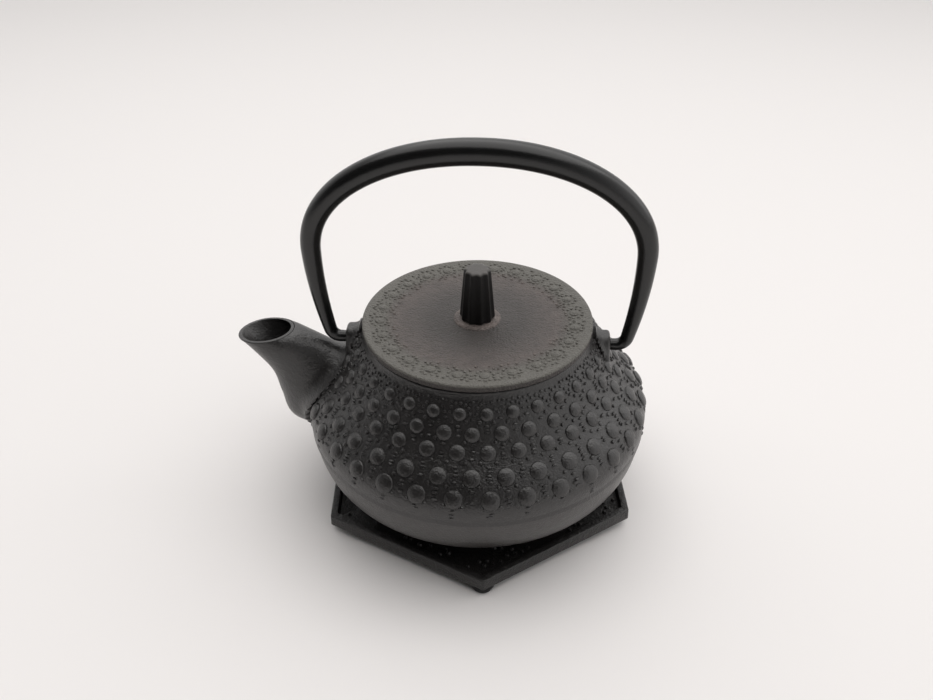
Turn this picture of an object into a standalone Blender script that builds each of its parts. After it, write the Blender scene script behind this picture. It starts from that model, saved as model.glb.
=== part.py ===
"""Cast iron teapot with a bail handle, a lid and a steel infuser, standing on its six-sided trivet.

Units are metres and +Z is up. The origin is the centre of the underside of the whole object's box: the trivet
feet stand at z = 0, and the pot's axis is offset in +X, because the spout reaches out at -X.
Heights that end in _H are measured from the underside of the pot's foot ring.
"""

import math

import bmesh
import bpy
import numpy as np
from mathutils import Vector

# Trivet
TRIVET_ACROSS_FLATS = 0.1261
TRIVET_THICKNESS = 0.00525
TRIVET_RECESS = 0.0022
TRIVET_RIM = 0.0032
TRIVET_CORNER_ROUND = 0.0012
TRIVET_EDGE_ROUND = 0.0005
TRIVET_TURN = math.radians(5.0)
FOOT_RADIUS = 0.0049
FOOT_BASE_RADIUS = 0.0041
FOOT_HEIGHT = 0.0040
FOOT_INSET = 0.0012
FOOT_COUNT = 3

# Pot casting
BODY_RADIUS = 0.0720
RIDGE_SET_BACK = 0.0008
RIDGE_STEP = 0.0007
SHOULDER_SET_BACK = 0.01154
SHOULDER_SWELL = math.radians(8.57)
MOUTH_SWELL = math.radians(1.54)
BOWL_BASE_RADIUS = 0.0465
FOOT_RING_SET_IN = 0.0025
FOOT_RING_WIDTH = 0.0060
BOWL_BASE_H = 0.00385
RIDGE_H = 0.03085
WIDEST_H = 0.03585
SHOULDER_H = 0.05325
MOUTH_H = 0.07365
BOWL_POWER = 2.1
WALL = 0.0034
FLOOR = 0.0036
MOUTH_BORE = 0.0394
MOUTH_LAND_WIDTH = 0.0066
NECK_DEPTH = 0.0045
REBATE_WIDTH = 0.0030
REBATE_DEPTH = 0.0010

# Handle lugs, one each side of the mouth
HINGE_H = 0.06535
LUG_PROUD = 0.0024
LUG_HALF_WIDTH = 0.0046
LUG_OVER_HINGE = 0.0053
LUG_DEPTH = 0.0130
LUG_SPREAD = 0.0035
LUG_EDGE_ROUND = 0.0009

# Spout: its outline in the pot's mid-plane, as (out from the widest radius, up from the widest height)
SPOUT_UPPER = (
    (0.0045, 0.0324), (0.0008, 0.0316), (-0.0075, 0.0279), (-0.0155, 0.0230), (-0.0210, 0.0188), (-0.0250, 0.0138),
)
SPOUT_LOWER = (
    (0.0280, 0.0300), (0.0222, 0.0228), (0.0157, 0.0123), (0.0133, 0.0016), (0.0095, -0.0102), (-0.0060, -0.0162),
)
SPOUT_HALF_WIDTHS = (0.0097, 0.0098, 0.0094, 0.0113, 0.0143, 0.0146)
SPOUT_LIP_WALL = 0.0013
SPOUT_ROOT_WALL = 0.0030
SPOUT_CUT_PAST = 0.0030

# Bail handle
HANDLE_HALF_SPREAD = 0.0109
HANDLE_RISE = 0.0815
HANDLE_WIDEST_RISE = 0.0400
HANDLE_POWER = 2.08
HANDLE_TOP_THICKNESS = 0.0101
HOOK_THICKNESS = 0.0044
HOOK_BEND = 0.0045
HOOK_LEAN = math.radians(11.6)
HOOK_ENGAGE = 0.0038

# Lid and knob
LID_OVERHANG = 0.00055
LID_RIM_THICKNESS = 0.00307
LID_DISH = 0.0010
LID_PLATE = 0.0030
LID_RIM_ROUND = 0.0014
BOSS_RADIUS = 0.0090
BOSS_HEIGHT = 0.0008
SKIRT_WALL = 0.0023
SKIRT_DEPTH = 0.0057
KNOB_HEIGHT = 0.0218
KNOB_BASE_RADIUS = 0.0072
KNOB_TOP_RADIUS = 0.0053
KNOB_FLUTES = 10
KNOB_FLUTE_DEPTH = 0.0007
KNOB_TOP_ROUND = 0.0010
RIVET_RADIUS = 0.0020
RIVET_IN_KNOB = 0.0090
RIVET_HEAD_RADIUS = 0.0040
RIVET_HEAD_HEIGHT = 0.0012
WASHER_RADIUS = 0.0055
WASHER_THICKNESS = 0.0008

# Infuser basket
BASKET_DEPTH = 0.0400
SHEET = 0.0005
RIM_THICKNESS = 0.0006
COLLAR_DEPTH = 0.0055
COLLAR_CLEARANCE = 0.0005
BASE_RING_UPSTAND = 0.0045
BASE_RING_LIP = 0.0030
SKIRT_CLEARANCE = 0.0006

# Gap between pieces that touch, and the play of the handle's hooks in the lugs
GAP = 0.0003
HOOK_PLAY = 0.00055

# Facets
AROUND = 48
SPOUT_AROUND = 28
HANDLE_AROUND = 14
POLE = 1e-9

IRON = ((0.018, 0.018, 0.018), 0.62, 0.55)
LID_IRON = ((0.034, 0.030, 0.028), 0.66, 0.45)
BLACK_ENAMEL = ((0.007, 0.007, 0.007), 0.33, 0.30)
STEEL = ((0.56, 0.56, 0.55), 0.28, 1.00)
RUBBER = ((0.014, 0.014, 0.014), 0.80, 0.00)


# Derived sizes

trivet_corner_radius = TRIVET_ACROSS_FLATS / math.sqrt(3)
trivet_floor_z = FOOT_HEIGHT + TRIVET_THICKNESS - TRIVET_RECESS
pot_base_z = trivet_floor_z + GAP
foot_ring_radius = BOWL_BASE_RADIUS - FOOT_RING_SET_IN
mouth_land_radius = MOUTH_BORE + MOUTH_LAND_WIDTH
hook_radius = HOOK_THICKNESS / 2
rivet_hole_radius = RIVET_RADIUS + GAP
basket_radius = MOUTH_BORE - COLLAR_CLEARANCE - SHEET - GAP
flange_h = MOUTH_H - REBATE_DEPTH + GAP
lid_seat_h = MOUTH_H + GAP
lid_radius = mouth_land_radius + LID_OVERHANG
skirt_radius = basket_radius - SHEET - SKIRT_CLEARANCE


# Curves

def smooth_through(points, steps):
    """Points of a Catmull-Rom curve that passes through all the given ones, with steps to each stretch."""
    known = np.asarray(points, float)
    known = known[:, None] if known.ndim == 1 else known
    ends = np.vstack([2 * known[0] - known[1], known, 2 * known[-1] - known[-2]])
    t = np.linspace(0, 1, steps, endpoint=False)[:, None]
    curve = []
    for i in range(len(known) - 1):
        a, b, c, d = ends[i : i + 4]
        curve.append(
            0.5 * (2 * b + (c - a) * t + (2 * a - 5 * b + 4 * c - d) * t**2 + (3 * b - a - 3 * c + d) * t**3)
        )
    return np.vstack([*curve, known[-1:]])


def leg(start, start_way, end, end_way, steps):
    """Points of a Hermite curve between two points, with its direction given at both."""
    start, end = np.asarray(start, float), np.asarray(end, float)
    reach = np.linalg.norm(end - start)
    first = np.asarray(start_way, float) * reach
    last = np.asarray(end_way, float) * reach
    t = np.linspace(0, 1, steps)[:, None]
    return (
        (2 * t**3 - 3 * t**2 + 1) * start
        + (t**3 - 2 * t**2 + t) * first
        + (3 * t**2 - 2 * t**3) * end
        + (t**3 - t**2) * last
    )


def unit(x, y):
    return np.array([x, y]) / math.hypot(x, y)


def rotated(way, angle):
    across = np.array([-way[1], way[0]])
    return math.cos(angle) * way + math.sin(angle) * across


def body_curve(ridge_step=RIDGE_STEP):
    """The casting's outer side as (radius, height) from the bowl's base up to the mouth's land.

    The patterned belly stands proud of the smooth bowl below it by the ridge step. At the shoulder and the mouth
    the outline leans further in than its chords do, by the two swell angles.
    """
    turn = np.linspace(0, math.pi / 2, 9)
    ridge_radius = BODY_RADIUS - RIDGE_SET_BACK
    bowl_radius = ridge_radius - ridge_step
    bowl_top_h = RIDGE_H - 0.5 * RIDGE_STEP
    bowl = np.stack([
        BOWL_BASE_RADIUS + (bowl_radius - BOWL_BASE_RADIUS) * np.sin(turn) ** (2 / BOWL_POWER),
        bowl_top_h - (bowl_top_h - BOWL_BASE_H) * np.cos(turn) ** (2 / BOWL_POWER),
    ], axis=-1)
    widest = np.array([BODY_RADIUS, WIDEST_H])
    shoulder = np.array([BODY_RADIUS - SHOULDER_SET_BACK, SHOULDER_H])
    mouth = np.array([mouth_land_radius, MOUTH_H - POLE])
    below, above = unit(*(shoulder - widest)), unit(*(mouth - shoulder))
    way_up = rotated(unit(*(below + above)), SHOULDER_SWELL)
    belly = leg((ridge_radius, RIDGE_H), unit(0.25, 1), widest, (0, 1), 4)
    lower_shoulder = leg(widest, (0, 1), shoulder, way_up, 6)
    upper_shoulder = leg(shoulder, way_up, mouth, rotated(above, MOUTH_SWELL), 5)
    return np.vstack([bowl, belly, lower_shoulder[1:], upper_shoulder[1:]])


def outer_radius_at(height):
    curve = body_curve()
    return float(np.interp(height, curve[:, 1], curve[:, 0]))


def inset_curve(curve, by):
    """The same curve moved inwards by a wall's thickness, square to itself."""
    way = np.gradient(curve, axis=0)
    way /= np.linalg.norm(way, axis=1, keepdims=True)
    return curve + by * np.stack([-way[:, 1], way[:, 0]], axis=-1)


# Meshes

def clear_scene():
    for obj in list(bpy.data.objects):
        bpy.data.objects.remove(obj, do_unlink=True)


def material(name, look):
    colour, roughness, metallic = look
    made = bpy.data.materials.get(name) or bpy.data.materials.new(name)
    made.use_nodes = True
    shader = made.node_tree.nodes["Principled BSDF"]
    shader.inputs["Base Color"].default_value = (*colour, 1.0)
    shader.inputs["Roughness"].default_value = roughness
    shader.inputs["Metallic"].default_value = metallic
    return made


def mesh_object(name, points, faces, look_name, look, parent=None, at=(0, 0, 0)):
    """An object from points and faces, with its faces turned outwards and shaded smooth between sharp edges."""
    mesh = bpy.data.meshes.new(name)
    mesh.from_pydata([tuple(p) for p in points], [], faces)
    rebuilt = bmesh.new()
    rebuilt.from_mesh(mesh)
    bmesh.ops.recalc_face_normals(rebuilt, faces=rebuilt.faces)
    rebuilt.to_mesh(mesh)
    rebuilt.free()
    mesh.shade_smooth()
    mesh.set_sharp_from_angle(angle=math.radians(35))
    mesh.materials.append(material(look_name, look))
    obj = bpy.data.objects.new(name, mesh)
    bpy.context.scene.collection.objects.link(obj)
    obj.parent = parent
    obj.location = at
    return obj


def grid_faces(rows, around, first=0, closed_rows=False):
    """Quads between neighbouring rings of a grid of points, each ring closed on itself."""
    faces = []
    for row in range(rows if closed_rows else rows - 1):
        low, high = first + row * around, first + (row + 1) % rows * around
        for i in range(around):
            j = (i + 1) % around
            faces.append((low + i, low + j, high + j, high + i))
    return faces


def turned(name, profile, look_name, look, ring=False, around=AROUND, **place):
    """A solid of revolution. An open profile starts and ends on the axis, and a ring's closes on itself."""
    profile = np.asarray(profile, float)
    angle = np.arange(around) * 2 * math.pi / around
    rim = profile if ring else profile[1:-1]
    points = [
        (r * math.cos(a), r * math.sin(a), z) for r, z in rim for a in angle
    ]
    faces = grid_faces(len(rim), around, closed_rows=ring)
    if not ring:
        last_ring = (len(rim) - 1) * around
        for (_, z), start in ((profile[0], 0), (profile[-1], last_ring)):
            pole = len(points)
            points.append((0.0, 0.0, z))
            faces += [(start + i, start + (i + 1) % around, pole) for i in range(around)]
    return mesh_object(name, points, faces, look_name, look, **place)


def lofted(name, rings, look_name, look, **place):
    """A closed solid through rings of points, with a fan over each end."""
    rings = np.asarray(rings, float)
    count, around = rings.shape[:2]
    points = [tuple(p) for p in rings.reshape(-1, 3)]
    faces = grid_faces(count, around)
    for ring, start in ((rings[0], 0), (rings[-1], (count - 1) * around)):
        middle = len(points)
        points.append(tuple(ring.mean(axis=0)))
        faces += [(start + i, start + (i + 1) % around, middle) for i in range(around)]
    return mesh_object(name, points, faces, look_name, look, **place)


def boolean(obj, other, operation):
    """Adds a live Boolean to obj, and keeps its tool out of the build."""
    other.hide_render = True
    other.display_type = "WIRE"
    step = obj.modifiers.new(f"{operation.lower()} {other.name}", "BOOLEAN")
    step.operation = operation
    step.solver = "EXACT"
    step.object = other


def empty(name, parent=None, at=(0, 0, 0)):
    made = bpy.data.objects.new(name, None)
    bpy.context.scene.collection.objects.link(made)
    made.parent = parent
    made.location = at
    return made


# Pot

def spout_outline():
    steps = 3
    upper = smooth_through(SPOUT_UPPER, steps)
    lower = smooth_through(SPOUT_LOWER, steps)
    half_width = smooth_through(SPOUT_HALF_WIDTHS, steps)[:, 0]
    return upper, lower, half_width


def oval_rings(upper, lower, half_width):
    """Oval sections, each spanning the outline's upper and lower side, in the pot's own axes."""
    turn = np.arange(SPOUT_AROUND) * 2 * math.pi / SPOUT_AROUND
    middle, reach = (upper + lower) / 2, (upper - lower) / 2
    out = middle[:, :1] + reach[:, :1] * np.cos(turn)
    up = middle[:, 1:] + reach[:, 1:] * np.cos(turn)
    return np.stack([-(BODY_RADIUS + out), half_width[:, None] * np.sin(turn), WIDEST_H + up], axis=-1)


def channel_rings():
    """The spout's bore: its outline set in by a wall that thickens inwards, run on past both ends as a cutter."""
    upper, lower, half_width = spout_outline()
    wall = (SPOUT_LIP_WALL + (SPOUT_ROOT_WALL - SPOUT_LIP_WALL) * np.minimum(1, np.linspace(0, 2, len(upper))))[:, None]
    inner_upper = inset_curve(upper, wall)
    inner_lower = inset_curve(lower, -wall)
    across = unit(*(upper[0] - lower[0]))
    inner_upper[0] = upper[0] - SPOUT_LIP_WALL * across
    inner_lower[0] = lower[0] + SPOUT_LIP_WALL * across
    rings = oval_rings(inner_upper, inner_lower, half_width - wall[:, 0])
    out_of_lip = SPOUT_CUT_PAST * np.array([across[1], 0, across[0]])
    into_pot = rings[-1].mean(axis=0) - rings[-3].mean(axis=0)
    into_pot *= 3 * SPOUT_CUT_PAST / np.linalg.norm(into_pot)
    return np.vstack([rings[:1] - out_of_lip, rings, rings[-1:] + into_pot])


def make_lug(side, parent):
    """One cast lug: a block that widens downwards into the shoulder, rounded on its free edges."""
    face = side * (outer_radius_at(HINGE_H) + LUG_PROUD)
    back = side * (MOUTH_BORE + REBATE_WIDTH + 0.5 * WALL)
    top, low = HINGE_H + LUG_OVER_HINGE, HINGE_H - LUG_DEPTH
    points = [
        (x, y, z)
        for z, half in ((low, LUG_HALF_WIDTH + LUG_SPREAD), (top, LUG_HALF_WIDTH))
        for x, y in ((back, -half), (face, -half), (face, half), (back, half))
    ]
    faces = [(0, 1, 2, 3), (4, 5, 6, 7), *((i, (i + 1) % 4, (i + 1) % 4 + 4, i + 4) for i in range(4))]
    lug = mesh_object(f"lug {side:+d}", points, faces, "cast iron", IRON, parent)
    rounding = lug.modifiers.new("rounded edges", "BEVEL")
    rounding.width = LUG_EDGE_ROUND
    rounding.segments = 2
    return lug


def make_cavity(parent):
    """The room inside the casting: the body's curve set in by the wall, the neck, the rebate and the way out."""
    inner = inset_curve(body_curve(ridge_step=0), WALL)
    floor_h = BOWL_BASE_H + FLOOR
    neck_h = MOUTH_H - NECK_DEPTH
    under_neck_h = neck_h - 0.5 * NECK_DEPTH
    inner = inner[(inner[:, 1] > floor_h + 0.0006) & (inner[:, 1] < under_neck_h - 0.0006)]
    open_h = MOUTH_H + NECK_DEPTH
    ledge_h = MOUTH_H - REBATE_DEPTH
    rebate_radius = MOUTH_BORE + REBATE_WIDTH
    profile = [
        (0, floor_h), (inner[0, 0] - 0.0020, floor_h), *inner,
        (MOUTH_BORE + 0.4 * (inner[-1, 0] - MOUTH_BORE), under_neck_h), (MOUTH_BORE, neck_h),
        (MOUTH_BORE, ledge_h), (rebate_radius, ledge_h), (rebate_radius, open_h), (0, open_h),
    ]
    return turned("cavity", profile, "cast iron", IRON, parent=parent)


def make_pot(parent):
    curve = body_curve()
    ring_inside = foot_ring_radius - FOOT_RING_WIDTH
    recess_h = BOWL_BASE_H - 0.0015
    round_off = 0.0008
    profile = [
        (0, recess_h), (ring_inside - 0.0010, recess_h), (ring_inside, round_off), (ring_inside + round_off, 0),
        (foot_ring_radius - round_off, 0), (foot_ring_radius, round_off), (foot_ring_radius + 0.0004, BOWL_BASE_H),
        *curve[:-1],
        (mouth_land_radius + 0.0003, MOUTH_H - 0.0006), (mouth_land_radius - 0.0005, MOUTH_H), (0, MOUTH_H),
    ]
    body = turned("pot_body", profile, "cast iron", IRON, parent=parent)
    spout = lofted("spout outside", oval_rings(*spout_outline()), "cast iron", IRON, parent=parent)
    boolean(body, spout, "UNION")
    for side in (-1, 1):
        boolean(body, make_lug(side, parent), "UNION")
    boolean(body, make_cavity(parent), "DIFFERENCE")
    boolean(body, lofted("spout channel", channel_rings(), "cast iron", IRON, parent=parent), "DIFFERENCE")
    for side in (-1, 1):
        boolean(body, make_hook_hole(side, parent), "DIFFERENCE")
    return body


def make_hook_hole(side, parent):
    """A blind hole in a lug, on the hinge axis and open outwards."""
    face = outer_radius_at(HINGE_H) + LUG_PROUD
    deep = face - HOOK_ENGAGE - 2 * GAP
    turn = np.arange(20) * 2 * math.pi / 20
    radius = hook_radius + HOOK_PLAY
    rings = [
        np.stack([np.full(20, side * x), radius * np.cos(turn), HINGE_H + radius * np.sin(turn)], axis=-1)
        for x in (deep, face + 0.0020)
    ]
    return lofted(f"hook hole {side:+d}", rings, "cast iron", IRON, parent=parent)


# Handle

def handle_half_path():
    """The bar's middle line on the +X side, from the hook's tip up to the top, as (out, up) from the hinge."""
    face = outer_radius_at(HINGE_H) + LUG_PROUD
    bend_end = np.array([face + hook_radius + GAP, 0.0])
    centre = bend_end + (0, HOOK_BEND)
    turn = np.linspace(0, math.pi / 2 - HOOK_LEAN, 6)
    bend = centre + HOOK_BEND * np.stack([np.sin(turn), -np.cos(turn)], axis=-1)
    widest = np.array([face + HANDLE_HALF_SPREAD, HANDLE_WIDEST_RISE])
    lean = (math.sin(HOOK_LEAN), math.cos(HOOK_LEAN))
    arm = leg(bend[-1], lean, widest, (0, 1), 9)
    turn = np.linspace(0, math.pi / 2, 15)
    arch = np.stack([
        widest[0] * np.cos(turn) ** (2 / HANDLE_POWER),
        HANDLE_WIDEST_RISE + (HANDLE_RISE - HANDLE_WIDEST_RISE) * np.sin(turn) ** (2 / HANDLE_POWER),
    ], axis=-1)
    tip = np.array([[face - HOOK_ENGAGE, 0.0]])
    return np.vstack([tip, bend, arm[1:], arch[1:]])


def make_handle(parent):
    """A round bar that tapers from the grip to the hooks, lying in the plane of the hinge axis."""
    half = handle_half_path()
    half[-1, 0] = 0
    path = np.vstack([half, half[-2::-1] * (-1, 1)])
    way = np.gradient(path, axis=0)
    way[0], way[-1] = (1, 0), (1, 0)
    way /= np.linalg.norm(way, axis=1, keepdims=True)
    length = np.concatenate([[0], np.cumsum(np.linalg.norm(np.diff(path, axis=0), axis=1))])
    share = 1 - np.abs(2 * length / length[-1] - 1)
    radius = hook_radius + (HANDLE_TOP_THICKNESS / 2 - hook_radius) * (1 - (1 - share) ** 2)
    turn = np.arange(HANDLE_AROUND) * 2 * math.pi / HANDLE_AROUND
    across = np.stack([way[:, 1], -way[:, 0]], axis=-1)
    rings = np.stack([
        path[:, :1] + radius[:, None] * across[:, :1] * np.cos(turn),
        radius[:, None] * np.sin(turn),
        path[:, 1:] + radius[:, None] * across[:, 1:] * np.cos(turn),
    ], axis=-1)
    return lofted("handle", rings, "black enamel", BLACK_ENAMEL, parent=parent, at=(0, 0, HINGE_H))


# Lid, with z = 0 at the underside of its rim

def make_lid(parent):
    rim_top = LID_RIM_THICKNESS
    dish = rim_top - LID_DISH
    boss_top = dish + BOSS_HEIGHT
    under = dish - LID_PLATE
    skirt_inside = skirt_radius - SKIRT_WALL
    turn = np.linspace(-math.pi / 2, math.pi / 2, 7)
    half_rim = rim_top / 2
    nose = [
        (lid_radius - LID_RIM_ROUND + LID_RIM_ROUND * math.cos(a), half_rim + half_rim * math.sin(a)) for a in turn
    ]
    profile = [
        (rivet_hole_radius, under), (skirt_inside, under), (skirt_inside, -SKIRT_DEPTH),
        (skirt_radius - 0.0004, -SKIRT_DEPTH), (skirt_radius, -SKIRT_DEPTH + 0.0006), (skirt_radius, 0),
        *nose, (0.7 * lid_radius, dish + 0.0003), (0.4 * lid_radius, dish),
        (BOSS_RADIUS + 0.0015, dish), (BOSS_RADIUS, boss_top - 0.0002),
        (BOSS_RADIUS - 0.0008, boss_top), (rivet_hole_radius, boss_top),
    ]
    return turned("lid", profile, "lid iron", LID_IRON, ring=True, parent=parent)


def knob_radius(height, turn):
    """The knob tapers upwards, with rounded flutes all round and a rounded top edge."""
    taper = KNOB_BASE_RADIUS + (KNOB_TOP_RADIUS - KNOB_BASE_RADIUS) * height / KNOB_HEIGHT
    flute = KNOB_FLUTE_DEPTH * 0.5 * (1 - np.cos(KNOB_FLUTES * turn))
    drop = max(0.0, height - (KNOB_HEIGHT - KNOB_TOP_ROUND)) / KNOB_TOP_ROUND
    return taper - flute - KNOB_TOP_ROUND * (1 - math.sqrt(max(0.0, 1 - drop**2)))


def make_knob(parent):
    around = KNOB_FLUTES * 6
    turn = np.arange(around) * 2 * math.pi / around
    bore = rivet_hole_radius
    bore_top = RIVET_IN_KNOB + GAP
    heights = [0, *np.linspace(0.25, 1, 4) * (KNOB_HEIGHT - KNOB_TOP_ROUND)]
    heights += [KNOB_HEIGHT - 0.35 * KNOB_TOP_ROUND, KNOB_HEIGHT - 0.05 * KNOB_TOP_ROUND]
    rings = [(np.full(around, bore), bore_top), (np.full(around, bore), 0)]
    rings += [(knob_radius(h, turn), h) for h in heights]
    rings += [(0.5 * knob_radius(heights[-1], turn), KNOB_HEIGHT + 0.0002)]
    shape = [np.stack([r * np.cos(turn), r * np.sin(turn), np.full(around, h)], axis=-1) for r, h in rings]
    seat = LID_RIM_THICKNESS - LID_DISH + BOSS_HEIGHT + GAP
    return lofted("lid_knob", shape, "knob iron", BLACK_ENAMEL, parent=parent, at=(0, 0, seat))


def make_fixings(parent):
    under = LID_RIM_THICKNESS - LID_DISH - LID_PLATE
    washer_top = under - GAP
    washer_low = washer_top - WASHER_THICKNESS
    washer = [
        (rivet_hole_radius, washer_low), (WASHER_RADIUS, washer_low),
        (WASHER_RADIUS, washer_top), (rivet_hole_radius, washer_top),
    ]
    turned("knob_washer", washer, "steel", STEEL, ring=True, around=32, parent=parent)
    head_top = washer_low - GAP
    head_low = head_top - RIVET_HEAD_HEIGHT
    tip = LID_RIM_THICKNESS - LID_DISH + BOSS_HEIGHT + GAP + RIVET_IN_KNOB - GAP
    turn = np.linspace(math.pi / 2, 0, 5)[1:]
    dome = [(RIVET_HEAD_RADIUS * math.cos(a), head_top - RIVET_HEAD_HEIGHT * math.sin(a)) for a in turn]
    rivet = [(0, head_low), *dome, (RIVET_RADIUS, head_top), (RIVET_RADIUS, tip), (0, tip)]
    turned("knob_rivet", rivet, "steel", STEEL, around=24, parent=parent)


# Infuser, with z = 0 at the underside of its flange

def make_infuser(parent):
    flange_radius = MOUTH_BORE + REBATE_WIDTH - COLLAR_CLEARANCE
    collar_in = basket_radius + GAP
    collar_out = collar_in + SHEET
    rim = [
        (collar_in, -COLLAR_DEPTH), (collar_out, -COLLAR_DEPTH), (collar_out, 0), (flange_radius, 0),
        (flange_radius, RIM_THICKNESS), (collar_in, RIM_THICKNESS),
    ]
    turned("infuser_rim", rim, "steel", STEEL, ring=True, parent=parent)
    base = RIM_THICKNESS - BASKET_DEPTH
    inside = basket_radius - SHEET
    wall = [(inside, base), (basket_radius, base), (basket_radius, RIM_THICKNESS - GAP), (inside, RIM_THICKNESS - GAP)]
    turned("infuser_wall", wall, "steel", STEEL, ring=True, parent=parent)
    lip = inside - BASE_RING_LIP
    shelf_top = base - GAP
    ring = [
        (lip, shelf_top - SHEET), (collar_out, shelf_top - SHEET), (collar_out, shelf_top + BASE_RING_UPSTAND),
        (collar_in, shelf_top + BASE_RING_UPSTAND), (collar_in, shelf_top), (lip, shelf_top),
    ]
    turned("infuser_base_ring", ring, "steel", STEEL, ring=True, parent=parent)
    disc_radius = inside - GAP
    disc = [(0, base), (disc_radius, base), (disc_radius, base + SHEET), (0, base + SHEET)]
    turned("infuser_base_mesh", disc, "steel", STEEL, parent=parent)


# Trivet

def hexagon(circumradius, z):
    corners = [-math.pi / 2 + TRIVET_TURN + k * math.pi / 3 for k in range(6)]
    return [(circumradius * math.cos(a), circumradius * math.sin(a), z) for a in corners]


def make_trivet(parent):
    """A hexagonal plate with a sunk floor: its rim stands TRIVET_RECESS above the floor."""
    top = TRIVET_THICKNESS
    sunk = top - TRIVET_RECESS
    inner = trivet_corner_radius - TRIVET_RIM / math.cos(math.pi / 6)
    slope = 0.0005
    rings = [
        hexagon(trivet_corner_radius, 0), hexagon(trivet_corner_radius - 0.0002, top),
        hexagon(inner, top), hexagon(inner - slope, sunk),
    ]
    points = [Vector(p) for ring in rings for p in ring]
    faces = grid_faces(4, 6) + [tuple(range(6)), tuple(range(18, 24))]
    plate = mesh_object("trivet", points, faces, "cast iron", IRON, parent, (0, 0, FOOT_HEIGHT))
    soften = bmesh.new()
    soften.from_mesh(plate.data)
    uprights = [
        e for e in soften.edges
        if abs(e.verts[0].co.z - e.verts[1].co.z) > 0.5 * top and e.calc_length() < 1.5 * top
    ]
    bmesh.ops.bevel(soften, geom=uprights, offset=TRIVET_CORNER_ROUND, segments=3, affect="EDGES")
    soften.to_mesh(plate.data)
    soften.free()
    edges = plate.modifiers.new("soft edges", "BEVEL")
    edges.width = TRIVET_EDGE_ROUND
    edges.segments = 1
    edges.angle_limit = math.radians(50)
    edges.limit_method = "ANGLE"
    return plate


def make_feet(parent):
    """Rubber pads under every other corner."""
    top = FOOT_HEIGHT - GAP
    out = trivet_corner_radius - FOOT_INSET - FOOT_RADIUS
    shape = [
        (0, 0), (FOOT_BASE_RADIUS - 0.0005, 0), (FOOT_BASE_RADIUS, 0.0004), (FOOT_RADIUS, 0.6 * top),
        (FOOT_RADIUS, top), (0, top),
    ]
    for number in range(FOOT_COUNT):
        angle = -math.pi / 2 + TRIVET_TURN + number * 2 * math.pi / FOOT_COUNT
        place = (out * math.cos(angle), out * math.sin(angle), 0)
        turned(f"trivet_foot_{number + 1}", shape, "rubber", RUBBER, around=24, parent=parent, at=place)


def axis_offset():
    """How far the pot's axis lies from the middle of the whole box, which runs from the spout's lip to the far side."""
    spout_reach = BODY_RADIUS + SPOUT_LOWER[0][0]
    handle_reach = outer_radius_at(HINGE_H) + LUG_PROUD + HANDLE_HALF_SPREAD + HANDLE_TOP_THICKNESS / 2
    trivet_reach = trivet_corner_radius * math.cos(math.pi / 6 - TRIVET_TURN)
    far_side = max(BODY_RADIUS, handle_reach - 0.0012, trivet_reach)
    return (spout_reach - far_side) / 2


def main():
    clear_scene()
    axis = empty("teapot_axis", at=(axis_offset(), 0, 0))
    make_trivet(axis)
    make_feet(axis)
    pot = empty("pot_base", axis, (0, 0, pot_base_z))
    make_pot(pot)
    make_handle(pot)
    infuser = empty("infuser_seat", pot, (0, 0, flange_h))
    make_infuser(infuser)
    lid = empty("lid_seat", infuser, (0, 0, lid_seat_h - flange_h))
    make_lid(lid)
    make_knob(lid)
    make_fixings(lid)


main()
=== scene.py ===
"""Looks for the cast iron teapot: beaded pot, lid and knob, bail handle, steel infuser and six-sided trivet.

Units are metres, +Z is up and the spout points to -X. Sizes that end in _H are measured from the underside of the
pot's foot ring, on the pot's own upright axis. Bearings are angles about that axis from -Y towards +X.
"""

import math

import bpy
import numpy as np
from bpy.props import FloatProperty, FloatVectorProperty, PointerProperty
from mathutils import Matrix, Vector


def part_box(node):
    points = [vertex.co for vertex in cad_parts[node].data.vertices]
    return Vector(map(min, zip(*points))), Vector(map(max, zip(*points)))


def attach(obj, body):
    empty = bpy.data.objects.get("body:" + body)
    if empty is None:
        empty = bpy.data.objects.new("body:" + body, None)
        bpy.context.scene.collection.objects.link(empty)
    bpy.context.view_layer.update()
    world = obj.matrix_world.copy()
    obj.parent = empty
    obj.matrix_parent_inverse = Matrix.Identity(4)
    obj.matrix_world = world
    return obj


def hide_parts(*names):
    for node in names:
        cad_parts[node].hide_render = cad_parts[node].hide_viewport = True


bl_info = {
    "name": "Cast iron teapot",
    "version": (1, 0, 0),
    "blender": (4, 5, 0),
    "location": "3D View > Sidebar > Teapot",
    "description": "Builds the beaded teapot, its handle, lid, infuser and trivet on the packed frame",
    "category": "Add Mesh",
}

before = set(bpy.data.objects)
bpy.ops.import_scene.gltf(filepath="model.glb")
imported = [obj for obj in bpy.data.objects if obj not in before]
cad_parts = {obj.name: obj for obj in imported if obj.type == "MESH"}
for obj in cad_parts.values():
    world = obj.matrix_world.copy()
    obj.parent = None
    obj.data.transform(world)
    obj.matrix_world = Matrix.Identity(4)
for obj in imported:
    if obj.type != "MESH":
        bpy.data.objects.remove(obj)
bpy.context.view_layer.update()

BUILD_SEED = 7
NEAR_AXIS = 0.0001  # radius of the innermost ring of a shell that is closed on its axis

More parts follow.
